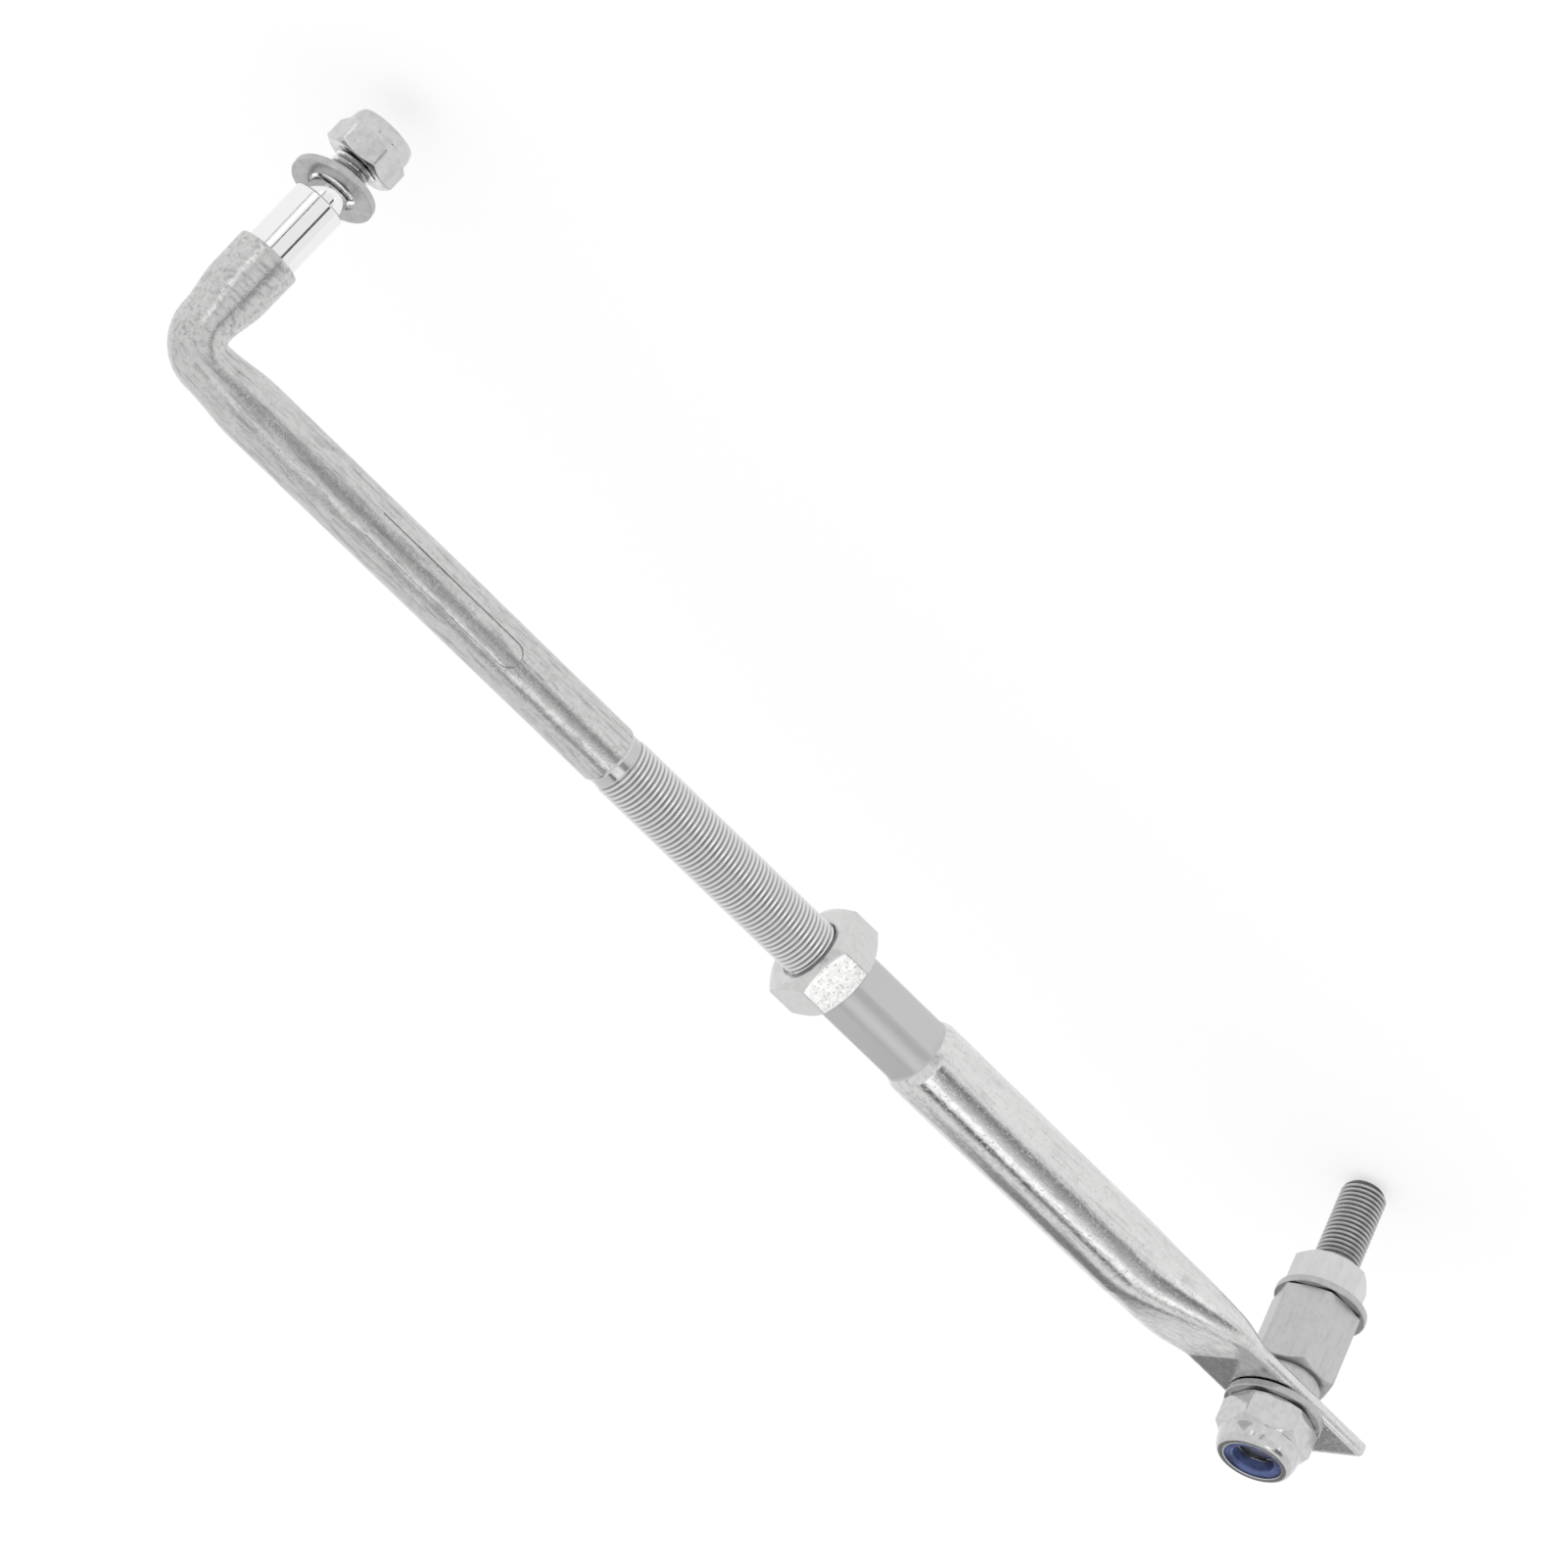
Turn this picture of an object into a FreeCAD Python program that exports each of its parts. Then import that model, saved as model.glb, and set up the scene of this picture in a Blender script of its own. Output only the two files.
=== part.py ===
"""Adjustable steering link arm: a threaded hook rod, a swaged tube and a pivot stud with its hardware.

Units are millimetres. The origin is the centre of the stud's seat. The link runs along -X to the hook,
and the stud's tip and the hook's small end point down, along -Z. The pieces are drawn the other way up,
with the tip along +Z, and turned over at the end.
"""
import math
import os

import FreeCAD, Part

V = FreeCAD.Vector

# ---- overall sizes ------------------------------------------------------------------------
CENTRE_LENGTH = 304.8      # stud axis to the corner of the hook rod
LINK_DROP = 22.4           # stud seat to the middle of the link
BAR_R = 6.0                # the hook rod's plain bar
STUD_R = 4.76              # the stud's upper thread
SPIGOT_R = 5.0             # the hook rod's spigot, which the cable end turns on
PLATE_T = 3.1              # flattened end of the tube, both layers
FIT = 0.06                 # radial running clearance of a thread in its nut
PIVOT_FIT = 0.07           # radial running clearance of the plate on the stud's journal
GAP = 0.2                  # end play between parts that turn on one another
TOUCH = 0.02               # faces that are tightened together

# ---- tube ---------------------------------------------------------------------------------
MOUTH_AT = 132.9           # stud axis to the mouth of the tube
NECK_END_AT = MOUTH_AT - 21.5
NECK_STEP_L = 2.2
MAIN_THREAD_R = BAR_R - 0.1
NECK_R = MAIN_THREAD_R + 1.2
NECK_FLATS = 2 * NECK_R - 0.85
TUBE_R = NECK_R + 0.9
TUBE_WALL = 1.55
SQUEEZE_AT = 47.0          # stud axis to where the tube starts to flatten
FLARE_AT = 25.0            # stud axis to where it is widest
FLARE_W = 2 * TUBE_R + 4.8
PLATE_AT = 16.0            # stud axis to where it is flat
PLATE_W = 2 * TUBE_R + 2.0
PLATE_END = 15.5           # stud axis to the end of the plate, on the centre line
PLATE_SLANT = 0.3          # the press and the shear both stood this far off square
PLATE_CORNER_R = 1.2

# ---- hook rod -----------------------------------------------------------------------------
BEND_ANGLE = 88.0          # angle between the two legs
HOOK_TWIST = -25.25        # turn of the hook leg about the link, from +Z
BEND_IN_PLANE_R = 0.84 * BAR_R
BEND_SIDE_R = 1.035 * BAR_R
BEND_R = BEND_IN_PLANE_R + 0.3      # bend radius on the bar's centre line
BEND_BLEND_LONG = 2.83 * BAR_R      # corner to where the long leg is round again
BEND_BLEND_SHORT = 2.17 * BAR_R
SLEEVE_END = BEND_BLEND_SHORT + 8.2
SLEEVE_R = max(BAR_R, SPIGOT_R + 1.0) + 0.2
SPIGOT_END = SLEEVE_END + 12.7
STEP_R = SPIGOT_R - 1.2
STEP_END = SPIGOT_END + 2.5
HOOK_THREAD_R = SPIGOT_R - 1.03
HOOK_THREAD_END = SPIGOT_END + 13.7
MAIN_THREAD_END = CENTRE_LENGTH - MOUTH_AT + 37.9      # corner to the rod's threaded end
SHOULDER_AT = MAIN_THREAD_END - 102.2                  # corner to the shoulder before the long thread
RUNOUT_L = 2.6
RUNOUT_R = MAIN_THREAD_R - 0.35
MARK_START = 0.413 * SHOULDER_AT
MARK_END = 0.757 * SHOULDER_AT
MARK_DEPTH = 0.28
MARK_TURN = 62.0           # turn of the pressed mark about the link, from -Z to -Y

# ---- stud ---------------------------------------------------------------------------------
STUD_TIP = 29.2
FREE_END_AT = 10.2         # seat to the thread groove past the nut, where the stud's free end starts
THREAD_GROOVE_L = 0.6
THREAD_GROOVE_D = 0.3
JOURNAL_R = STUD_R + 0.24
COLLAR_R = JOURNAL_R + 2.1
GROOVE_R = COLLAR_R - 0.6
GROOVE_H = 0.5
HEX_AF = 2 * COLLAR_R + 2.0
HEX_H = LINK_DROP - PLATE_T / 2.0 - 3.85
HEX_TURN = 0.0
STUD_LOW = LINK_DROP + PLATE_T / 2.0 + 9.45            # seat to the other end of the stud
LOW_THREAD_R = JOURNAL_R - 0.07

# ---- washers and nuts ---------------------------------------------------------------------
BIG_WASHER_T = 1.6
TILLER_WASHER_R = STUD_R + 4.84
TILLER_WASHER_ID = 2 * STUD_R + 1.6
TILLER_WASHER_X = 0.38     # the loose washer sits off centre
TILLER_WASHER_Y = -0.31
TILLER_NUT_AF = 3 * STUD_R
TILLER_NUT_H = 8.2
TILLER_NUT_TURN = -23.9
PIVOT_WASHER_R = JOURNAL_R + 5.1
PIVOT_WASHER_ID = 2 * JOURNAL_R + 0.6
PIVOT_NUT_AF = 2 * LOW_THREAD_R + 7.14
PIVOT_NUT_H = 11.1
PIVOT_NUT_TURN = 20.6
PIVOT_RING_R = LOW_THREAD_R + 1.47
PIVOT_RING_ID = 2 * LOW_THREAD_R - 1.46
PIVOT_RING_T = 2.6
SMALL_WASHER_R = SPIGOT_R + 3.0
SMALL_WASHER_ID = 2 * HOOK_THREAD_R + 1.06
SMALL_WASHER_T = 1.5
SMALL_WASHER_AT = SPIGOT_END + 3.3
SMALL_WASHER_TILT = 16.5
SMALL_WASHER_LEAN = 102.0
HOOK_NUT_AF = 2 * HOOK_THREAD_R + 4.76
HOOK_NUT_AT = SPIGOT_END + 9.0
HOOK_NUT_H = 8.1
HOOK_NUT_TURN = -27.3
HOOK_RING_R = HOOK_THREAD_R + 0.93
HOOK_RING_ID = 2 * HOOK_THREAD_R - 1.04
HOOK_RING_T = 2.0
JAM_AF = 2 * BAR_R + 7.0
JAM_H = 9.3
JAM_TURN = -18.0


def revolved(points):
    """Solid turned about Z from (radius, height) points."""
    pts = [V(r, 0, z) for r, z in points]
    return Part.Face(Part.makePolygon(pts + [pts[0]])).revolve(V(0, 0, 0), V(0, 0, 1), 360)


def hex_prism(af, z0, z1, turn):
    """Upright hexagonal bar with a corner at the given turn about Z."""
    r = af / math.sqrt(3.0)
    pts = [V(r * math.cos(math.radians(turn + 60 * k)), r * math.sin(math.radians(turn + 60 * k)), z0)
           for k in range(6)]
    return Part.Face(Part.makePolygon(pts + [pts[0]])).extrude(V(0, 0, z1 - z0))


def solid_of(shape):
    """The one solid of a boolean result, with merged faces."""
    shape = shape.removeSplitter()
    if len(shape.Solids) != 1:
        raise ValueError("expected one solid, got %d" % len(shape.Solids))
    return shape.Solids[0]


def along_link(shape, x, turn=0.0):
    """Lay a Z-built shape along the link: its +Z points to the hook, starting at x."""
    s = shape.copy()
    s.rotate(V(0, 0, 0), V(0, 1, 0), -90)
    s.rotate(V(0, 0, 0), V(1, 0, 0), turn)
    s.translate(V(x, 0, -LINK_DROP))
    return s


def hook_place():
    """Placement of the hook rod's own frame: corner at zero, long leg +X, hook leg in the XY plane."""
    return FreeCAD.Placement(V(-CENTRE_LENGTH, 0, -LINK_DROP),
                             FreeCAD.Rotation(V(1, 0, 0), 90.0 - HOOK_TWIST))


def on_hook(shape, at, tilt=0.0, lean=0.0):
    """Put a Z-built shape on the hook leg, at a distance from the corner, in the part's frame."""
    s = shape.copy()
    s.rotate(V(0, 0, 0), V(1, 0, 0), tilt)
    s.rotate(V(0, 0, 0), V(0, 0, 1), lean + 90.0)
    s.translate(V(0, 0, at))
    s.rotate(V(0, 0, 0), V(1, 0, 0), -90)
    s.rotate(V(0, 0, 0), V(0, 0, 1), BEND_ANGLE - 90.0)
    p = hook_place()
    s.rotate(V(0, 0, 0), p.Rotation.Axis, math.degrees(p.Rotation.Angle))
    s.translate(p.Base)
    return s


# ---- sub-parts ----------------------------------------------------------------------------
def nut(af, h, bore_r, turn, top_r, base_r, base_h=0.0):
    """Hexagonal nut on z = 0, chamfered both ways, with an optional washer face below."""
    corner = af / math.sqrt(3.0)
    t = math.tan(math.radians(30))
    prof = [(0, 0), (base_r, 0)]
    if base_h:
        prof += [(base_r, base_h)]
    prof += [(base_r + 0.05, base_h), (corner + 0.05, base_h + (corner - base_r) * t),
             (corner + 0.05, h - (corner - top_r) * t), (top_r, h), (0, h)]
    body = hex_prism(af, 0, h, turn).common(revolved(prof))
    sink = 0.55
    cut = revolved([(0, -1), (bore_r + sink, -1), (bore_r + sink, 0), (bore_r, sink), (bore_r, h - sink),
                    (bore_r + sink, h), (bore_r + sink, h + 1), (0, h + 1)])
    return solid_of(body.cut(cut))


def lock_nut(af, h, bore_r, turn, ring_r, ring_t, end_r, lip):
    """Nut with a domed collar that holds a nylon ring, base on z = 0."""
    corner = af / math.sqrt(3.0)
    flat = af / 2.0
    t = math.tan(math.radians(30))
    hex_h = h * 0.62
    base_r = flat - 0.25
    collar_r = flat - 0.15
    prof = [(0, 0), (base_r, 0), (corner + 0.05, (corner + 0.05 - base_r) * t),
            (corner + 0.05, hex_h - (corner - flat) * t * 1.4), (flat + 0.1, hex_h)]
    prof += [(collar_r, hex_h + 0.25)]
    dome = h - hex_h - 0.25
    for k in range(1, 7):
        a = math.radians(15 * k)
        prof.append((end_r + (collar_r - end_r) * math.cos(a), hex_h + 0.25 + dome * math.sin(a)))
    prof.append((0, h))
    body = hex_prism(af, 0, h, turn).common(revolved(prof))
    seat = h - lip - ring_t
    mouth_r = ring_r - 0.45
    cut = revolved([(0, -1), (bore_r + 0.6, -1), (bore_r + 0.6, 0), (bore_r, 0.6), (bore_r, seat),
                    (ring_r + 0.04, seat), (ring_r + 0.04, h - lip), (mouth_r, h - lip), (mouth_r, h + 1),
                    (0, h + 1)])
    return solid_of(body.cut(cut))


def nylon_ring(r, bore, t):
    """Nylon locking ring on z = 0."""
    c = 0.3
    return revolved([(bore / 2.0 + c, 0), (r, 0), (r, t), (bore / 2.0 + c, t), (bore / 2.0, t - c),
                     (bore / 2.0, c)])


def washer(r, bore, t):
    """Stamped washer on z = 0 with rolled outer edges."""
    c = 0.25
    return revolved([(bore / 2.0, 0), (r - c, 0), (r, c), (r, t - c), (r - c, t), (bore / 2.0, t)])


def hook_rod():
    """One bar: threaded long leg, squeezed bend, and a hook leg with spigot and small thread."""
    half = math.radians(BEND_ANGLE / 2.0)
    turn = 180.0 - BEND_ANGLE
    tangent = BEND_R / math.tan(half)
    # the squeezed bend: an ellipse turned about the bend centre
    ell = Part.Ellipse(V(0, 0, 0), BEND_SIDE_R, BEND_IN_PLANE_R)
    wire = Part.Wire(ell.toShape())
    wire.rotate(V(0, 0, 0), V(0, 0, 1), 90)
    wire.rotate(V(0, 0, 0), V(0, 1, 0), 90)
    # the ellipse now stands in the YZ plane, long axis along Z
    if abs(wire.BoundBox.ZLength - 2 * BEND_SIDE_R) > 0.01:
        wire.rotate(V(0, 0, 0), V(1, 0, 0), 90)
    start = wire.copy()
    start.translate(V(tangent, 0, 0))
    bend = Part.Face(start).revolve(V(tangent, BEND_R, 0), V(0, 0, 1), -turn)
    # long leg
    ring = Part.Wire(Part.Circle(V(0, 0, 0), V(1, 0, 0), BAR_R).toShape())
    far = ring.copy()
    far.translate(V(BEND_BLEND_LONG, 0, 0))
    long_blend = Part.makeLoft([start, far], True, False)
    x = V(1, 0, 0)
    bar = Part.makeCylinder(BAR_R, SHOULDER_AT - BEND_BLEND_LONG, V(BEND_BLEND_LONG, 0, 0), x)
    cone_l = 0.8
    cone = Part.makeCone(BAR_R, RUNOUT_R, cone_l, V(SHOULDER_AT, 0, 0), x)
    relief = Part.makeCylinder(RUNOUT_R, RUNOUT_L - cone_l, V(SHOULDER_AT + cone_l, 0, 0), x)
    t0 = SHOULDER_AT + RUNOUT_L
    thread = Part.makeCylinder(MAIN_THREAD_R, MAIN_THREAD_END - 1.0 - t0, V(t0, 0, 0), x)
    tip = Part.makeCone(MAIN_THREAD_R, MAIN_THREAD_R - 0.9, 1.0, V(MAIN_THREAD_END - 1.0, 0, 0), x)
    # hook leg, drawn along X and then swung to its angle
    near = wire.copy()
    near.translate(V(tangent, 0, 0))
    far = ring.copy()
    far.translate(V(BEND_BLEND_SHORT, 0, 0))
    short_blend = Part.makeLoft([near, far], True, False)
    prof = [(BEND_BLEND_SHORT, 0), (BEND_BLEND_SHORT, BAR_R), (SLEEVE_END - 0.4, SLEEVE_R),
            (SLEEVE_END, SLEEVE_R - 0.4), (SLEEVE_END, SPIGOT_R), (SPIGOT_END - 0.4, SPIGOT_R),
            (SPIGOT_END, SPIGOT_R - 0.4), (SPIGOT_END, STEP_R), (STEP_END, STEP_R),
            (STEP_END + 0.3, HOOK_THREAD_R), (HOOK_THREAD_END - 0.8, HOOK_THREAD_R),
            (HOOK_THREAD_END, HOOK_THREAD_R - 0.8), (HOOK_THREAD_END, 0)]
    pts = [V(a, b, 0) for a, b in prof]
    leg = Part.Face(Part.makePolygon(pts + [pts[0]])).revolve(V(0, 0, 0), x, 360)
    hook = [short_blend, leg]
    for s in hook:
        s.rotate(V(0, 0, 0), V(0, 0, 1), BEND_ANGLE)
    rod = bend.multiFuse([long_blend, bar, cone, relief, thread, tip] + hook)
    rod = solid_of(rod)
    p = hook_place()
    rod.rotate(V(0, 0, 0), p.Rotation.Axis, math.degrees(p.Rotation.Angle))
    rod.translate(p.Base)
    # the shallow pressed mark, square at one end and round at the other
    half_w = 2.6
    mark = Part.makeBox(MARK_END - MARK_START - half_w, 2 * half_w, 3.0, V(MARK_START, -half_w, 0))
    mark = mark.fuse(Part.makeCylinder(half_w, 3.0, V(MARK_END - half_w, 0, 0), V(0, 0, 1)))
    mark.translate(V(-CENTRE_LENGTH, 0, -LINK_DROP - BAR_R + MARK_DEPTH - 3.0))
    mark.rotate(V(0, 0, -LINK_DROP), V(1, 0, 0), -MARK_TURN)
    return solid_of(rod.cut(mark))


def smooth(u):
    """Eased step from 0 to 1."""
    u = max(0.0, min(1.0, u))
    return u * u * (3 - 2 * u)


def flatness(x):
    """How far the tube is flattened at a distance from the stud axis, 0 round and 1 flat."""
    u = max(0.0, min(1.0, (SQUEEZE_AT - x) / (SQUEEZE_AT - PLATE_AT)))
    return 0.7 * u + 0.3 * smooth(u)


def squeeze(x):
    """Half height of the tube's outer wall at a distance from the stud axis."""
    return TUBE_R + (PLATE_T / 2.0 - TUBE_R) * flatness(x)


def spread(x):
    """Half width of the tube's outer wall: it flares as it flattens and narrows again to the plate."""
    if x >= FLARE_AT:
        return TUBE_R + (FLARE_W / 2.0 - TUBE_R) * smooth((SQUEEZE_AT - x) / (SQUEEZE_AT - FLARE_AT))
    return FLARE_W / 2.0 + (PLATE_W - FLARE_W) / 2.0 * smooth((FLARE_AT - x) / (FLARE_AT - PLATE_AT))


def tube_wire(x, half_h, half_w, n=60):
    """Closed round-ended section across the tube, half_h high and half_w wide each way."""
    straight = half_w - half_h
    girth = 2 * math.pi * half_h + 4 * straight
    slant = PLATE_SLANT * flatness(x)
    quarter = math.pi * half_h / 2.0
    pts = []
    for k in range(n):
        d = girth * k / n
        # from +Y round the end, along the bottom, round the other end and back along the top
        if d < quarter:
            a = d / half_h
            y, z = straight + half_h * math.cos(a), -half_h * math.sin(a)
        elif d < quarter + 2 * straight:
            y, z = straight - (d - quarter), -half_h
        elif d < 3 * quarter + 2 * straight:
            a = (d - quarter - 2 * straight) / half_h
            y, z = -straight - half_h * math.sin(a), -half_h * math.cos(a)
        elif d < 3 * quarter + 4 * straight:
            y, z = -straight + (d - 3 * quarter - 2 * straight), half_h
        else:
            a = (girth - d) / half_h
            y, z = straight + half_h * math.cos(a), half_h * math.sin(a)
        pts.append(V(-x - slant * y, y, z))
    curve = Part.BSplineCurve()
    curve.interpolate(pts, PeriodicFlag=True)
    return Part.Wire(curve.toShape())


def link_tube():
    """Tube with a swaged, flatted and tapped neck at one end and a flattened, bored plate at the other."""
    stations = [NECK_END_AT - NECK_STEP_L, SQUEEZE_AT]
    steps = 16
    for k in range(1, steps + 1):
        stations.append(SQUEEZE_AT + (PLATE_AT - SQUEEZE_AT) * k / steps)
    outer = Part.makeLoft([tube_wire(x, squeeze(x), spread(x)) for x in stations], True, True)
    inner_wires = []
    for x in stations:
        h = squeeze(x) - TUBE_WALL
        if h > 0.15:
            inner_wires.append(tube_wire(x, h, spread(x) - TUBE_WALL))
    inner = Part.makeLoft(inner_wires, True, True)
    mx = V(-1, 0, 0)
    neck = Part.makeCylinder(NECK_R, MOUTH_AT - NECK_END_AT, V(-NECK_END_AT, 0, 0), mx)
    block = Part.makeBox(MOUTH_AT - NECK_END_AT, NECK_FLATS, NECK_FLATS,
                         V(-MOUTH_AT, -NECK_FLATS / 2.0, -NECK_FLATS / 2.0))
    neck = neck.common(block)
    x0 = NECK_END_AT - NECK_STEP_L
    cone = Part.makeCone(TUBE_R - 0.02, NECK_R + 0.02, NECK_STEP_L, V(-x0, 0, 0), mx)
    half_w = PLATE_W / 2.0 + 0.05
    half_t = PLATE_T / 2.0 + TOUCH
    corners = [V(x - PLATE_SLANT * y, y, -half_t) for x, y in
               ((-PLATE_AT - 2.0, -half_w), (PLATE_END, -half_w), (PLATE_END, half_w), (-PLATE_AT - 2.0, half_w))]
    plate = Part.Face(Part.makePolygon(corners + [corners[0]])).extrude(V(0, 0, 2 * half_t))
    ends = [e for e in plate.Edges if e.CenterOfMass.x > 0 and abs(e.Vertexes[0].Z - e.Vertexes[1].Z) > 1]
    plate = plate.makeFillet(PLATE_CORNER_R, ends)
    sides = [e for e in plate.Edges if abs(abs(e.CenterOfMass.y) - half_w) < 1e-6
             and abs(abs(e.CenterOfMass.z) - half_t) < 1e-6]
    plate = plate.makeFillet(min(0.6, PLATE_T * 0.3), sides)
    body = outer.multiFuse([neck, cone, plate])
    bore = Part.makeCylinder(MAIN_THREAD_R + FIT, MOUTH_AT - x0 + 3.0, V(-MOUTH_AT - 1.0, 0, 0), V(1, 0, 0))
    sink = Part.makeCone(MAIN_THREAD_R + FIT + 0.4, MAIN_THREAD_R + FIT, 0.4, V(-MOUTH_AT, 0, 0), V(1, 0, 0))
    hole = Part.makeCylinder(JOURNAL_R + PIVOT_FIT, PLATE_T + 4, V(0, 0, -PLATE_T / 2.0 - 2), V(0, 0, 1))
    body = body.cut(inner).cut(bore).cut(sink).cut(hole)
    body = solid_of(body)
    body.translate(V(0, 0, -LINK_DROP))
    return body


def pivot_stud():
    """Hexagonal body with a turned collar and journal below and a thread at each end."""
    top = -LINK_DROP + PLATE_T / 2.0 + TOUCH
    low = -LINK_DROP - PLATE_T / 2.0 - TOUCH
    hexa = hex_prism(HEX_AF, -HEX_H, 0, HEX_TURN)
    corner = HEX_AF / math.sqrt(3.0)
    t = math.tan(math.radians(30))
    flat = HEX_AF / 2.0
    limit = revolved([(0, 0), (flat - 0.1, 0), (corner + 0.05, -(corner + 0.15 - flat) * t * 0.6),
                      (corner + 0.05, -HEX_H + (corner + 0.35 - flat) * t), (flat - 0.3, -HEX_H), (0, -HEX_H)])
    hexa = hexa.common(limit)
    free = FREE_END_AT + THREAD_GROOVE_L
    prof = [(0, STUD_TIP), (STUD_R - 1.0, STUD_TIP), (STUD_R, STUD_TIP - 1.2), (STUD_R, free),
            (STUD_R - THREAD_GROOVE_D, free), (STUD_R - THREAD_GROOVE_D, FREE_END_AT), (STUD_R, FREE_END_AT),
            (STUD_R, -1.0),
            (GROOVE_R, -1.0), (GROOVE_R, -HEX_H - GROOVE_H), (COLLAR_R, -HEX_H - GROOVE_H - 0.2),
            (COLLAR_R, top + GAP), (JOURNAL_R, top + GAP), (JOURNAL_R, low - GAP - 0.8),
            (LOW_THREAD_R, low - GAP - 0.9), (LOW_THREAD_R, -STUD_LOW + 0.8),
            (LOW_THREAD_R - 0.8, -STUD_LOW), (0, -STUD_LOW)]
    return solid_of(hexa.fuse(revolved(prof)))


def build():
    """All the pieces by node name."""
    low = -LINK_DROP - PLATE_T / 2.0 - TOUCH - GAP
    parts = {}
    parts["hook_rod"] = hook_rod()
    parts["link_tube"] = link_tube()
    jam = nut(JAM_AF, JAM_H, MAIN_THREAD_R + FIT, 0, JAM_AF / 2.0 - 1.2, JAM_AF / 2.0 - 1.2)
    parts["jam_nut"] = along_link(jam, -MOUTH_AT - TOUCH, JAM_TURN)
    parts["pivot_stud"] = pivot_stud()
    top_wash = washer(TILLER_WASHER_R, TILLER_WASHER_ID, BIG_WASHER_T)
    top_wash.translate(V(TILLER_WASHER_X, TILLER_WASHER_Y, TOUCH))
    parts["tiller_washer"] = top_wash
    tiller = nut(TILLER_NUT_AF, TILLER_NUT_H, STUD_R + FIT, TILLER_NUT_TURN, TILLER_NUT_AF / 2.0 - 1.2,
                 TILLER_NUT_AF / 2.0 + 0.3, 0.0)
    tiller.translate(V(0, 0, BIG_WASHER_T + TOUCH))
    parts["tiller_nut"] = tiller
    low_wash = washer(PIVOT_WASHER_R, PIVOT_WASHER_ID, BIG_WASHER_T)
    low_wash.translate(V(0, 0, low - BIG_WASHER_T))
    parts["pivot_washer"] = low_wash
    pnut = lock_nut(PIVOT_NUT_AF, PIVOT_NUT_H, LOW_THREAD_R + FIT, -PIVOT_NUT_TURN, PIVOT_RING_R,
                    PIVOT_RING_T, PIVOT_RING_R + 0.5, 0.45)
    pnut.rotate(V(0, 0, 0), V(1, 0, 0), 180)
    pnut.translate(V(0, 0, low - BIG_WASHER_T))
    parts["pivot_nut"] = pnut
    pring = nylon_ring(PIVOT_RING_R, PIVOT_RING_ID, PIVOT_RING_T)
    pring.translate(V(0, 0, low - BIG_WASHER_T - PIVOT_NUT_H + 0.45))
    parts["pivot_nut_insert"] = pring
    small = washer(SMALL_WASHER_R, SMALL_WASHER_ID, SMALL_WASHER_T)
    small.translate(V(0, 0, -SMALL_WASHER_T / 2.0))
    parts["hook_washer"] = on_hook(small, SMALL_WASHER_AT, SMALL_WASHER_TILT, SMALL_WASHER_LEAN)
    hnut = lock_nut(HOOK_NUT_AF, HOOK_NUT_H, HOOK_THREAD_R + FIT, HOOK_NUT_TURN, HOOK_RING_R, HOOK_RING_T,
                    HOOK_RING_R + 0.2, 0.4)
    parts["hook_nut"] = on_hook(hnut, HOOK_NUT_AT, 0.0, -90.0)
    hring = nylon_ring(HOOK_RING_R, HOOK_RING_ID, HOOK_RING_T)
    parts["hook_nut_insert"] = on_hook(hring, HOOK_NUT_AT + HOOK_NUT_H - 0.4 - HOOK_RING_T)
    for shape in parts.values():
        shape.rotate(V(0, 0, 0), V(1, 0, 0), 180)
    return parts


os.makedirs("parts", exist_ok=True)
for name, shape in build().items():
    if not shape.isValid():
        raise ValueError(name + " is not a valid solid")
    shape.exportStep("parts/%s.step" % name)
    box = shape.BoundBox
    print("%-18s %9.1f mm3  x %.1f..%.1f  y %.1f..%.1f  z %.1f..%.1f" % (
        name, shape.Volume, box.XMin, box.XMax, box.YMin, box.YMax, box.ZMin, box.ZMax))
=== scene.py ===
"""Stainless steering link arm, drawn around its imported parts.

Sizes are in millimetres until a piece is finished. Pieces are drawn with the stud's tip up, the link
along -X to the hook, and are turned over onto the parts' frame when they are finished.
"""
import logging
import math
from dataclasses import dataclass
from enum import Enum
from typing import Callable, Sequence

import bmesh
import bpy
from mathutils import Matrix, Vector


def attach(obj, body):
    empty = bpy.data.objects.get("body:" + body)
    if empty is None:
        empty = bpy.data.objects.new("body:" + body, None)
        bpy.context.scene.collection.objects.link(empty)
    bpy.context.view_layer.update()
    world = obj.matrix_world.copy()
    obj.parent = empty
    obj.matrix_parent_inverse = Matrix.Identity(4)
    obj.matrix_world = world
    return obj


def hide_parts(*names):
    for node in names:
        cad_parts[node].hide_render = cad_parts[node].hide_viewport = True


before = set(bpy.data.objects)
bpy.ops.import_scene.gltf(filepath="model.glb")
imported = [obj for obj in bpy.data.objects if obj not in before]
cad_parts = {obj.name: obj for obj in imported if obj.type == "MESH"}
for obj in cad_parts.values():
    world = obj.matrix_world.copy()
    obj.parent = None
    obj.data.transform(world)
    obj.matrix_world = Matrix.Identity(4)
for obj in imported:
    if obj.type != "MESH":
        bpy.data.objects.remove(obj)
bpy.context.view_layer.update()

LOG = logging.getLogger("steering_link")
MM = 0.001
ZONE_EDGE = 0.0002
LINK_DROP = 22.4
HALF_PLATE = 1.57
PIVOT_PLAY = 0.2
TURN_OVER = Matrix.Rotation(math.pi, 4, "X")
ALONG_LINK = Matrix.Rotation(-math.pi / 2, 4, "Y")
COS30, TAN30 = math.cos(math.radians(30)), math.tan(math.radians(30))

Point2 = tuple[float, float]
Point3 = tuple[float, float, float]
Warp = Callable[[int, float, Vector], Vector]
Mesh = bmesh.types.BMesh


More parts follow.
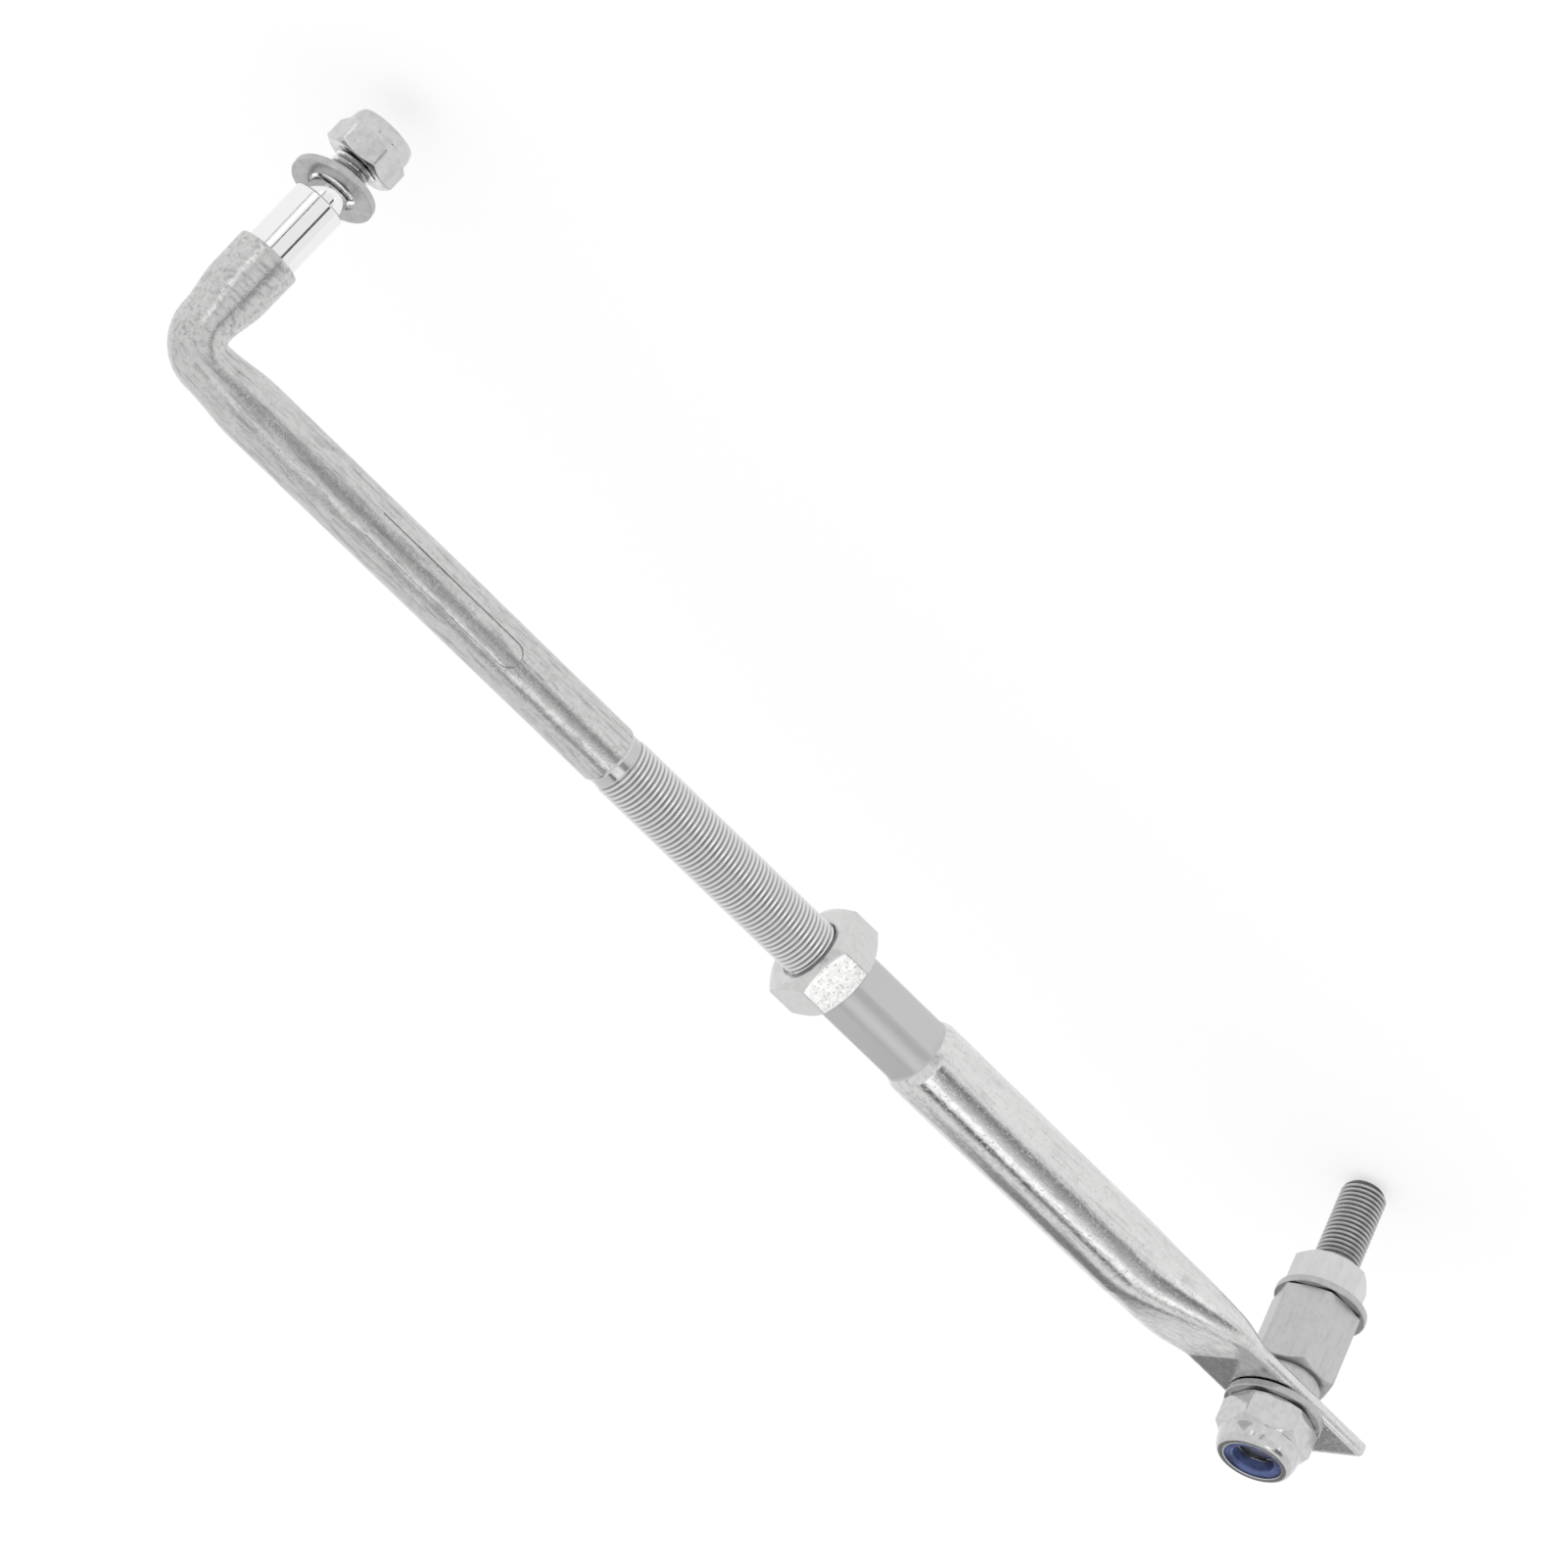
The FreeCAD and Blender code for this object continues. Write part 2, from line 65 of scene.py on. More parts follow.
class Slot(Enum):
    """The material slots of the part."""

    BAR = "bar_steel"
    TUBE = "tube_steel"
    STUD = "stud_steel"
    LOCK_NUT = "nut_steel"
    JAM_NUT = "jam_nut_steel"
    PLAIN_NUT = "plain_nut_steel"
    WASHER = "washer_steel"
    NYLON = "nylon_blue"


class Lay(Enum):
    """Which way a finish's streaks run."""

    LINK = (1.0, 9.0, 9.0)
    UPRIGHT = (6.0, 6.0, 1.0)
    ROUND = (1.0, 1.0, 7.0)
    NONE = (1.0, 1.0, 1.0)


# ---- shader helpers ----
class Wire:
    """A shader socket that takes part in Python arithmetic."""

    def __init__(self, net: "Net", socket: bpy.types.NodeSocket) -> None:
        """Wraps one output socket of a net."""
        self.net, self.socket = net, socket

    def _maths(self, operation: str, first: object, second: object) -> "Wire":
        """Adds one Math node.

        Args:
            operation: the Math node's operation.
            first: its first value or wire.
            second: its second value or wire.

        Returns:
            The node's result.
        """
        return self.net.add("ShaderNodeMath", {"operation": operation}, {0: first, 1: second})[0]

    def __add__(self, other: object) -> "Wire":
        """This plus other."""
        return self._maths("ADD", self, other)

    __radd__ = __add__

    def __sub__(self, other: object) -> "Wire":
        """This minus other."""
        return self._maths("SUBTRACT", self, other)

    def __rsub__(self, other: object) -> "Wire":
        """Other minus this."""
        return self._maths("SUBTRACT", other, self)

    def __mul__(self, other: object) -> "Wire":
        """This times other."""
        return self._maths("MULTIPLY", self, other)

    __rmul__ = __mul__

    def above(self, low: float, high: float) -> "Wire":
        """How far this is from low to high, held between 0 and 1."""
        return self.net.add("ShaderNodeMapRange", {"interpolation_type": "SMOOTHSTEP"},
                            {"Value": self, "From Min": low, "From Max": high})[0]


class Net:
    """A material's node tree, with one way to add nodes."""

    def __init__(self, material: bpy.types.Material) -> None:
        """Clears the material's tree and adds its shader and output."""
        material.use_nodes = True
        self.tree = material.node_tree
        self.tree.nodes.clear()
        self.shader = self.tree.nodes.new("ShaderNodeBsdfPrincipled")
        output = self.tree.nodes.new("ShaderNodeOutputMaterial")
        self.tree.links.new(self.shader.outputs[0], output.inputs[0])

    def feed(self, socket: bpy.types.NodeSocket, value: object) -> None:
        """Links or sets one input socket."""
        if isinstance(value, Wire):
            self.tree.links.new(value.socket, socket)
        elif value is not None:
            socket.default_value = value

    def add(self, kind: str, settings: dict[str, object], values: dict[object, object]) -> list[Wire]:
        """Adds a node.

        Args:
            kind: the node's type.
            settings: its properties, set first.
            values: its input sockets by name or number, as values or wires.

        Returns:
            Its output sockets that are in use, in order.
        """
        node = self.tree.nodes.new(kind)
        for key, value in settings.items():
            setattr(node, key, value)
        for key, value in values.items():
            self.feed(node.inputs[key], value)
        return [Wire(self, s) for s in node.outputs if s.enabled]

    def vector(self, operation: str, first: object, second: object = None) -> Wire:
        """The result of one Vector Math node."""
        return self.add("ShaderNodeVectorMath", {"operation": operation}, {0: first, 1: second})[0]

    def noise(self, where: Wire, scale: float, detail: float = 4.0, roughness: float = 0.55) -> Wire:
        """A noise pattern with that many features to the metre."""
        return self.add("ShaderNodeTexNoise", {"noise_dimensions": "3D"},
                        {"Vector": where, "Scale": scale, "Detail": detail, "Roughness": roughness})[0]

    def place(self, lay: Lay = Lay.NONE) -> Wire:
        """Object coordinates, stretched along a lay."""
        where = self.add("ShaderNodeTexCoord", {}, {})
        coords = [w for w in where if w.socket.name == "Object"][0]
        return self.add("ShaderNodeMapping", {"vector_type": "POINT"},
                        {"Vector": coords, "Scale": lay.value})[0]

    def tint(self, amount: Wire, clean: Wire | Sequence[float], marked: Sequence[float]) -> Wire:
        """A colour between two, by an amount from 0 to 1."""
        first = clean if isinstance(clean, Wire) else (*clean, 1.0)
        return self.add("ShaderNodeMix", {"data_type": "RGBA"},
                        {"Factor": amount, 6: first, 7: (*marked, 1.0)})[-1]


@dataclass(frozen=True)
class Zone:
    """A stretch along an axis that is finished differently, or only the roots of a thread there, darkened as
    painted shade.

    Lengths are in metres; a root zone, whose tone is painted shade, reaches no further from the axis than
    `under`.
    """

    origin: Point3
    axis: Point3
    start: float
    stop: float
    tone: Point3
    marks: float = 1.0
    rough: float = 0.0
    under: float = 0.0

    def mask(self, net: Net, where: Wire) -> Wire:
        """How much a point belongs to the zone, from 0 to 1."""
        offset = net.vector("SUBTRACT", where, self.origin)
        along = net.vector("DOT_PRODUCT", offset, self.axis)
        begun = along.above(self.start, self.start + ZONE_EDGE)
        inside = begun * (1.0 - along.above(self.stop, self.stop + ZONE_EDGE))
        if self.under:
            away = net.vector("LENGTH", net.vector("CROSS_PRODUCT", offset, self.axis))
            inside = inside * (1.0 - away.above(self.under - 0.0004, self.under))
        return inside


@dataclass(frozen=True)
class Steel:
    """A stainless finish: a tone with mottling, drawn streaks, pits and a fine grain, and zones, the root
    zones of which are painted shade.
    """

    name: str
    tone: Point3
    dark: Point3
    roughness: float
    lay: Lay = Lay.NONE
    mottle: float = 0.35
    mottle_scale: float = 260.0
    streak: float = 0.3
    streak_scale: float = 160.0
    pits: float = 0.2
    pit_scale: float = 1700.0
    rough_spread: float = 0.14
    bump: float = 0.25
    bump_scale: float = 2600.0
    zones: tuple[Zone, ...] = ()

    def make(self) -> bpy.types.Material:
        """Builds the material.

        Returns:
            The finished material.
        """
        material = bpy.data.materials.new(self.name)
        net = Net(material)
        plain = net.place()
        run = net.place(self.lay)
        blotch = net.noise(plain, self.mottle_scale, 5.0, 0.6).above(0.38, 0.68)
        streaks = net.noise(run, self.streak_scale, 4.0, 0.6).above(0.45, 0.72)
        pits = net.noise(plain, self.pit_scale, 2.0, 0.5).above(0.62, 0.72)
        grain = net.noise(plain, self.bump_scale, 3.0, 0.6)
        marked = blotch * self.mottle + streaks * self.streak + pits * self.pits
        held = net.add("ShaderNodeClamp", {}, {"Value": marked})[0]
        rough = (grain - 0.5) * (0.6 * self.rough_spread) + self.roughness
        masks = [zone.mask(net, plain) for zone in self.zones]
        for zone, mask in zip(self.zones, masks):
            held = held * (1.0 - mask * (1.0 - zone.marks))
            rough = rough + mask * zone.rough
        colour = net.tint(held, self.tone, self.dark)
        # Each zone mixes its tone in; a root zone's dark tone is painted shade in a thread's roots.
        for zone, mask in zip(self.zones, masks):
            colour = net.tint(mask * (1.0 - held * 0.5), colour, zone.tone)
        net.feed(net.shader.inputs["Base Color"], colour)
        rough = rough + held * self.rough_spread
        net.feed(net.shader.inputs["Roughness"], rough)
        net.shader.inputs["Metallic"].default_value = 1.0
        height = grain * 0.35 + blotch * 0.5 - pits * 0.8
        for zone, mask in zip(self.zones, masks):
            height = height * (1.0 - mask * (1.0 - zone.marks))
        raised = net.add("ShaderNodeBump", {}, {"Strength": self.bump, "Distance": 0.00006, "Height": height})
        net.feed(net.shader.inputs["Normal"], raised[0])
        return material


@dataclass(frozen=True)
class Nylon:
    """Moulded nylon of the locking rings."""

    name: str = "moulded_blue_nylon"
    tone: Point3 = (0.085, 0.125, 0.30)
    deep: Point3 = (0.025, 0.035, 0.11)

    def make(self) -> bpy.types.Material:
        """Builds the material."""
        material = bpy.data.materials.new(self.name)
        net = Net(material)
        where = net.place()
        cloud = net.noise(where, 420.0, 3.0).above(0.35, 0.7)
        net.feed(net.shader.inputs["Base Color"], net.tint(cloud, self.tone, self.deep))
        net.feed(net.shader.inputs["Roughness"], cloud * 0.12 + 0.3)
        net.shader.inputs["Specular IOR Level"].default_value = 0.45
        grain = net.noise(where, 3000.0, 2.0)
        raised = net.add("ShaderNodeBump", {}, {"Strength": 0.2, "Distance": 0.00005, "Height": grain})
        net.feed(net.shader.inputs["Normal"], raised[0])
        return material


# ---- mesh helpers ----
def turned(degrees: float, axis: str) -> Matrix:
    """A turn about one axis."""
    return Matrix.Rotation(math.radians(degrees), 4, axis)


def moved(x: float, y: float, z: float) -> Matrix:
    """A shift."""
    return Matrix.Translation((x, y, z))


def linked(name: str, bm: Mesh) -> bpy.types.Object:
    """Makes a scene object of a mesh, which is used up."""
    mesh = bpy.data.meshes.new(name)
    bm.to_mesh(mesh)
    bm.free()
    obj = bpy.data.objects.new(name, mesh)
    bpy.context.scene.collection.objects.link(obj)
    return obj


def smooth(u: float) -> float:
    """Eased step from 0 to 1."""
    u = max(0.0, min(1.0, u))
    return u * u * (3 - 2 * u)


def steps(a: float, b: float, count: int) -> list[float]:
    """Evenly spaced values from a to b, both ends included."""
    return [a + (b - a) * k / count for k in range(count + 1)]


def spun(outline: Sequence[Point2], segments: int, closed: bool = False, warp: Warp | None = None) -> Mesh:
    """Turns an outline about Z.

    Args:
        outline: (radius, height) points; an open outline starts and ends on the axis.
        segments: how many steps make the full turn.
        closed: the last point joins the first, as round a bore.
        warp: moves each point, given its place in the outline, its turn in radians and where it is.

    Returns:
        The turned mesh.
    """
    bm = bmesh.new()
    row = bm.verts.layers.int.new("row")
    verts = []
    for i, (radius, height) in enumerate(outline):
        v = bm.verts.new((radius, 0.0, height))
        v[row] = i
        verts.append(v)
    edges = [bm.edges.new(pair) for pair in zip(verts, verts[1:])]
    if closed:
        edges.append(bm.edges.new((verts[-1], verts[0])))
    bmesh.ops.spin(bm, geom=verts + edges, cent=(0, 0, 0), axis=(0, 0, 1), angle=2 * math.pi, steps=segments,
                   use_merge=True, use_duplicate=False)
    if warp:
        for v in bm.verts:
            v.co = warp(v[row], math.atan2(v.co.y, v.co.x), v.co)
    bmesh.ops.remove_doubles(bm, verts=bm.verts, dist=0.0004)
    bmesh.ops.dissolve_degenerate(bm, edges=bm.edges, dist=0.0002)
    bmesh.ops.recalc_face_normals(bm, faces=bm.faces)
    return bm


def soften(bm: Mesh, width: float, least: float = 24.0, most: float = 180.0, segments: int = 2,
           where: Callable[[Vector], bool] | None = None) -> Mesh:
    """Rounds the sharp edges of a mesh.

    Args:
        bm: the mesh.
        width: the rounding's width.
        least: edges that turn by less than this many degrees are left.
        most: edges that turn by more are left too.
        segments: steps across the rounding.
        where: tells by an edge's middle whether it may be rounded.

    Returns:
        The same mesh.
    """
    chosen = []
    for e in bm.edges:
        if len(e.link_faces) == 2 and least < math.degrees(e.calc_face_angle(0.0)) < most:
            if where is None or where((e.verts[0].co + e.verts[1].co) / 2):
                chosen.append(e)
    if chosen:
        bmesh.ops.bevel(bm, geom=chosen, offset=width, offset_type="OFFSET", affect="EDGES",
                        segments=segments, profile=0.5, material=-1, clamp_overlap=True, loop_slide=True)
    bmesh.ops.recalc_face_normals(bm, faces=bm.faces)
    return bm


def helix(radius: float, pitch: float, depth: float, start: float, end: float, segments: int = 56) -> Mesh:
    """A threaded bar about Z, cut square at both ends.

    Args:
        radius: over the crests.
        pitch: from crest to crest.
        depth: from crest to root.
        start: where it begins.
        end: where it ends.
        segments: steps to a turn.

    Returns:
        The closed threaded mesh.
    """
    shape = ((0.0, 1.0), (0.13, 0.92), (0.38, 0.14), (0.5, 0.0), (0.62, 0.14), (0.87, 0.92), (1.0, 1.0))
    turns, made = math.ceil((end - start) / pitch) + 2, 1
    bm = bmesh.new()
    verts = [bm.verts.new((radius - depth * cut, 0.0, start - pitch + pitch * at)) for at, cut in shape]
    edges = [bm.edges.new(pair) for pair in zip(verts, verts[1:])]
    bmesh.ops.spin(bm, geom=verts + edges, cent=(0, 0, 0), axis=(0, 0, 1), dvec=(0, 0, pitch / segments),
                   angle=2 * math.pi, steps=segments, use_merge=False, use_duplicate=False)
    while made < turns:
        copy = bmesh.ops.duplicate(bm, geom=bm.verts[:] + bm.edges[:] + bm.faces[:])["geom"]
        bmesh.ops.translate(bm, verts=[g for g in copy if isinstance(g, bmesh.types.BMVert)],
                            vec=(0, 0, pitch * made))
        made *= 2
    bmesh.ops.remove_doubles(bm, verts=bm.verts, dist=0.002)
    for height, side in ((start, -1), (end, 1)):
        bmesh.ops.bisect_plane(bm, geom=bm.verts[:] + bm.edges[:] + bm.faces[:], dist=0.0001,
                               plane_co=(0, 0, height), plane_no=(0, 0, side), clear_outer=True)
        rim = [e for e in bm.edges
               if len(e.link_faces) == 1 and all(abs(v.co.z - height) < 0.001 for v in e.verts)]
        bmesh.ops.edgeloop_fill(bm, edges=rim)
    bmesh.ops.recalc_face_normals(bm, faces=bm.faces)
    return bm


def taper(bm: Mesh, limit: Callable[[float], float]) -> Mesh:
    """Holds every point inside a radius that depends on its height."""
    for v in bm.verts:
        r, most = math.hypot(v.co.x, v.co.y), limit(v.co.z)
        if r > most:
            v.co.x, v.co.y = v.co.x * most / r, v.co.y * most / r
    return bm


def merged(*parts: Mesh) -> Mesh:
    """Puts several meshes in the first."""
    whole = parts[0]
    for part in parts[1:]:
        carrier = bpy.data.meshes.new("carrier")
        part.to_mesh(carrier)
        part.free()
        whole.from_mesh(carrier)
        bpy.data.meshes.remove(carrier)
    return whole


def carved(bm: Mesh, *cutters: Mesh) -> Mesh:
    """Cuts shapes out of a mesh.

    Args:
        bm: the mesh that is cut.
        cutters: the closed shapes that are taken away.

    Returns:
        A new mesh with the cuts made.
    """
    body, *tools = [linked("scratch", part) for part in (bm, *cutters)]
    for tool in tools:
        cut = body.modifiers.new("cut", "BOOLEAN")
        cut.operation, cut.solver, cut.object = "DIFFERENCE", "EXACT", tool
    result = bmesh.new()
    result.from_object(body, bpy.context.evaluated_depsgraph_get())
    for obj in [body, *tools]:
        mesh = obj.data
        bpy.data.objects.remove(obj)
        bpy.data.meshes.remove(mesh)
    bmesh.ops.remove_doubles(result, verts=result.verts, dist=0.0004)
    return result


def hex_reach(across: float, turn: float) -> float:
    """How far a hexagon with a corner at turn 0 reaches, by its size across flats and the turn in radians."""
    return across / 2 / math.cos(math.radians((math.degrees(turn) % 60.0) - 30.0))


def tapped(bore: float, low: float, high: float, pitch: float) -> list[Point2]:
    """The outline points down a threaded hole, from high to low."""
    count = max(2, round((high - low) / pitch * 6))
    return [(bore, z) for z in steps(high, low, count)]


def thread_groove(turn: float, height: float, pitch: float) -> float:
    """How deep a thread's groove is there, from 0 at the crest to 1 at the root."""
    phase = (height / pitch - turn / (2 * math.pi)) % 1.0
    return smooth(1.25 - abs(2 * phase - 1) * 1.6)


@dataclass
class Piece:
    """One finished piece: its name, the body it rides on, the part it stands for and its slot, which is not
    used.
    """

    name: str
    body: str
    stands_for: str
    slot: Slot

    def finish_mesh(self, bm: Mesh, material: bpy.types.Material, sharp: float = 50.0) -> bpy.types.Object:
        """Makes the object of a drawn mesh and puts it in the parts' frame.

        Args:
            bm: the mesh in millimetres, drawn the other way up.
            material: its finish.
            sharp: edges that turn by more degrees than this stay sharp.

        Returns:
            The finished object.
        """
        bm.transform(Matrix.Scale(MM, 4) @ TURN_OVER)
        for face in bm.faces:
            face.smooth = True
        for edge in bm.edges:
            edge.smooth = len(edge.link_faces) != 2 or math.degrees(edge.calc_face_angle(0.0)) < sharp
        obj = linked(self.name, bm)
        obj.data.materials.append(material)
        weigh = obj.modifiers.new("weighted", "WEIGHTED_NORMAL")
        weigh.keep_sharp, weigh.weight = True, 80
        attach(obj, self.body)
        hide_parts(self.stands_for)
        LOG.info("%s: %d faces on %s", self.name, len(obj.data.polygons), self.body)
        return obj


# ---- finishes, some with painted shade in the thread roots ----
def grey(tone: float) -> Point3:
    """An even grey."""
    return (tone, tone, tone)


LINK_LINE, HOOK_LINE = (-0.3048, 0.0, 0.0224), (0.0348995, 0.4263089, -0.9039042)
ALONG_X, ALONG_Z = (1.0, 0.0, 0.0), (0.0, 0.0, 1.0)
BAR_FINISH_AND_PAINTED_ROOT_SHADE = Steel("tumbled_bar_steel_with_painted_root_shade", (0.62, 0.62, 0.615), grey(0.26), 0.24, Lay.LINK,
                   mottle=0.16, mottle_scale=900.0, streak=0.55, streak_scale=150.0, pits=0.35,
                   pit_scale=1900.0, bump=0.55,
                   zones=(Zone(LINK_LINE, HOOK_LINE, 0.0213, 0.0600, grey(0.86), 0.06, -0.17),
                          Zone(LINK_LINE, ALONG_X, 0.1080, 0.3000, grey(0.72), 0.3, -0.09),
                          # The next two zones are painted shade in the roots of the long thread and of the
                          # small thread.
                          Zone(LINK_LINE, ALONG_X, 0.1080, 0.3000, grey(0.30), 1.0, 0.1, 0.00572),
                          Zone(LINK_LINE, HOOK_LINE, 0.0360, 0.0600, grey(0.25), 1.0, 0.1, 0.00378)))
TUBE_FINISH = Steel("drawn_tube_steel", (0.72, 0.72, 0.715), grey(0.36), 0.17, Lay.LINK,
                    mottle=0.14, mottle_scale=700.0, streak=0.36, streak_scale=120.0, pits=0.3,
                    bump=0.5, bump_scale=2300.0,
                    zones=(Zone(LINK_LINE, ALONG_X, 0.1600, 0.1936, grey(0.55), 0.35, 0.26),))
STUD_FINISH_AND_PAINTED_ROOT_SHADE = Steel("matte_stud_steel_with_painted_root_shade", grey(0.56), grey(0.36), 0.40, Lay.UPRIGHT,
                    mottle=0.16, mottle_scale=700.0, streak=0.25, pits=0.2,
                    rough_spread=0.08, bump=0.3, bump_scale=3200.0,
                    # This zone is painted shade in the roots of the stud's upper thread.
                    zones=(Zone((0.0, 0.0, 0.0), ALONG_Z, -0.0300, -0.0001, grey(0.10), 1.0, 0.1, 0.00462),))
POLISHED = Steel("polished_nut_steel", grey(0.62), grey(0.30), 0.11, Lay.NONE,
                 mottle=0.22, mottle_scale=650.0, streak=0.12, streak_scale=200.0, pits=0.14,
                 pit_scale=1800.0, bump=0.2)
JAM_FINISH = Steel("bright_jam_nut_steel", (0.66, 0.66, 0.655), grey(0.42), 0.16, Lay.NONE,
                   mottle=0.16, mottle_scale=700.0, streak=0.12, pits=0.3, bump=0.35,
                   bump_scale=2400.0)
PLAIN_NUT = Steel("satin_nut_steel", grey(0.66), grey(0.46), 0.34, Lay.UPRIGHT,
                  mottle=0.14, mottle_scale=600.0, streak=0.2, pits=0.12,
                  rough_spread=0.08, bump=0.2, bump_scale=3000.0)
WASHER_FINISH = Steel("stamped_washer_steel", grey(0.50), grey(0.28), 0.26, Lay.ROUND,
                      mottle=0.25, mottle_scale=600.0, streak=0.15, pits=0.25,
                      rough_spread=0.12, bump=0.25)
NYLON_FINISH = Nylon()


# ---- nuts and washers ----
@dataclass
class HexNut:
    """A plain hexagonal nut, its base on z = 0, chamfered both ways."""

    across: float
    height: float
    bore: float
    top_r: float
    base_r: float
    pitch: float
    sink: float = 0.55
    edge: float = 0.16

    def mesh(self) -> Mesh:
        """The nut's mesh, a corner at turn 0."""
        b, s, h = self.bore, self.sink, self.height
        outline = [(b + s, 0.0), (self.base_r, 0.0), (self.across / 2, 1.0), (self.across / 2, h - 1.0),
                   (self.top_r, h), (b + s, h), *tapped(b, s, h - s, self.pitch)]

        def warp(row: int, turn: float, co: Vector) -> Vector:
            """Gives the sides their flats and the bore its thread."""
            reach = hex_reach(self.across, turn)
            r, z = math.hypot(co.x, co.y), co.z
            if row == 1:
                r = min(self.base_r, reach)
            elif row == 2:
                r, z = reach, max(0.0, (reach - self.base_r) * TAN30)
            elif row == 3:
                r, z = reach, h - max(0.0, (reach - self.top_r) * TAN30)
            elif row > 6 and row < len(outline) - 1:
                r += 0.5 * self.pitch * thread_groove(turn, z, self.pitch)
            return Vector((r * math.cos(turn), r * math.sin(turn), z))

        bm = spun(outline, 96, True, warp)
        rim = b + s + 0.1
        return soften(bm, self.edge, 20.0, 180.0, 2, lambda p: math.hypot(p.x, p.y) > rim)


@dataclass
class LockNut:
    """A nut with a domed collar rolled over a nylon ring, its base on z = 0."""

    across: float
    height: float
    bore: float
    ring_r: float
    ring_t: float
    end_r: float
    lip: float
    pitch: float
    edge: float = 0.15

    def mesh(self) -> Mesh:
        """The nut's mesh, a corner at turn 0."""
        flat, h = self.across / 2, self.height
        hex_h, base_r, collar_r = 0.62 * h, flat - 0.25, flat - 0.15
        rise = h - hex_h - 0.25
        outline = [(self.bore + 0.6, 0.0), (base_r, 0.0), (flat, 0.5), (flat, hex_h - 0.5),
                   (flat - 0.01, hex_h), (collar_r, hex_h + 0.25)]
        for k in range(1, 13):
            a = math.radians(7.5 * k)
            outline.append((self.end_r + (collar_r - self.end_r) * math.cos(a),
                            hex_h + 0.25 + rise * math.sin(a)))
        mouth, seat = self.ring_r - 0.45, h - self.lip - self.ring_t
        pocket = self.ring_r + 0.04
        outline += [(mouth, h), (mouth, h - self.lip), (pocket, h - self.lip), (pocket, seat),
                    (self.bore + 0.3, seat)]
        first = len(outline)
        outline += tapped(self.bore, 0.6, seat - 0.3, self.pitch)

        def warp(row: int, turn: float, co: Vector) -> Vector:
            """Gives the sides their flats and the bore its thread."""
            reach = hex_reach(self.across, turn)
            r, z = math.hypot(co.x, co.y), co.z
            if row == 2:
                r, z = reach, (reach - base_r) * TAN30
            elif row == 3:
                r, z = reach, hex_h - 0.12 - max(0.0, reach - flat) * TAN30 * 1.4
            elif first < row < len(outline) - 1:
                r += 0.5 * self.pitch * thread_groove(turn, z, self.pitch)
            return Vector((r * math.cos(turn), r * math.sin(turn), z))

        bm = spun(outline, 96, True, warp)
        rim = self.bore + 0.7
        return soften(bm, self.edge, 22.0, 180.0, 2, lambda p: math.hypot(p.x, p.y) > rim)


def washer_mesh(radius: float, hole: float, thick: float, edge: float = 0.22) -> Mesh:
    """A stamped washer on z = 0: rolled outer edges and a sharper hole.

    Args:
        radius: outside radius.
        hole: diameter of its hole.
        thick: its thickness.
        edge: size of the rolled edge.

    Returns:
        The washer's mesh.
    """
    inner = hole / 2
    outline = [(inner + 0.12, 0.0), (radius - 1.1 * edge, 0.0), (radius - 0.3 * edge, 0.3 * edge),
               (radius, 1.1 * edge), (radius, thick - 1.3 * edge), (radius - 0.3 * edge, thick - 0.35 * edge),
               (radius - 1.2 * edge, thick), (inner + 0.3, thick), (inner, thick - 0.28), (inner, 0.12)]
    return spun(outline, 128, True)


def ring_mesh(radius: float, hole: float, thick: float) -> Mesh:
    """A nylon locking ring on z = 0."""
    inner, c = hole / 2, 0.3
    outline = [(inner + c, 0.0), (radius, 0.0), (radius, thick), (inner + 1.6 * c, thick),
               (inner + 0.5 * c, thick - 0.5 * c), (inner, thick - 1.6 * c), (inner, c)]
    return soften(spun(outline, 96, True), 0.08, 24.0)


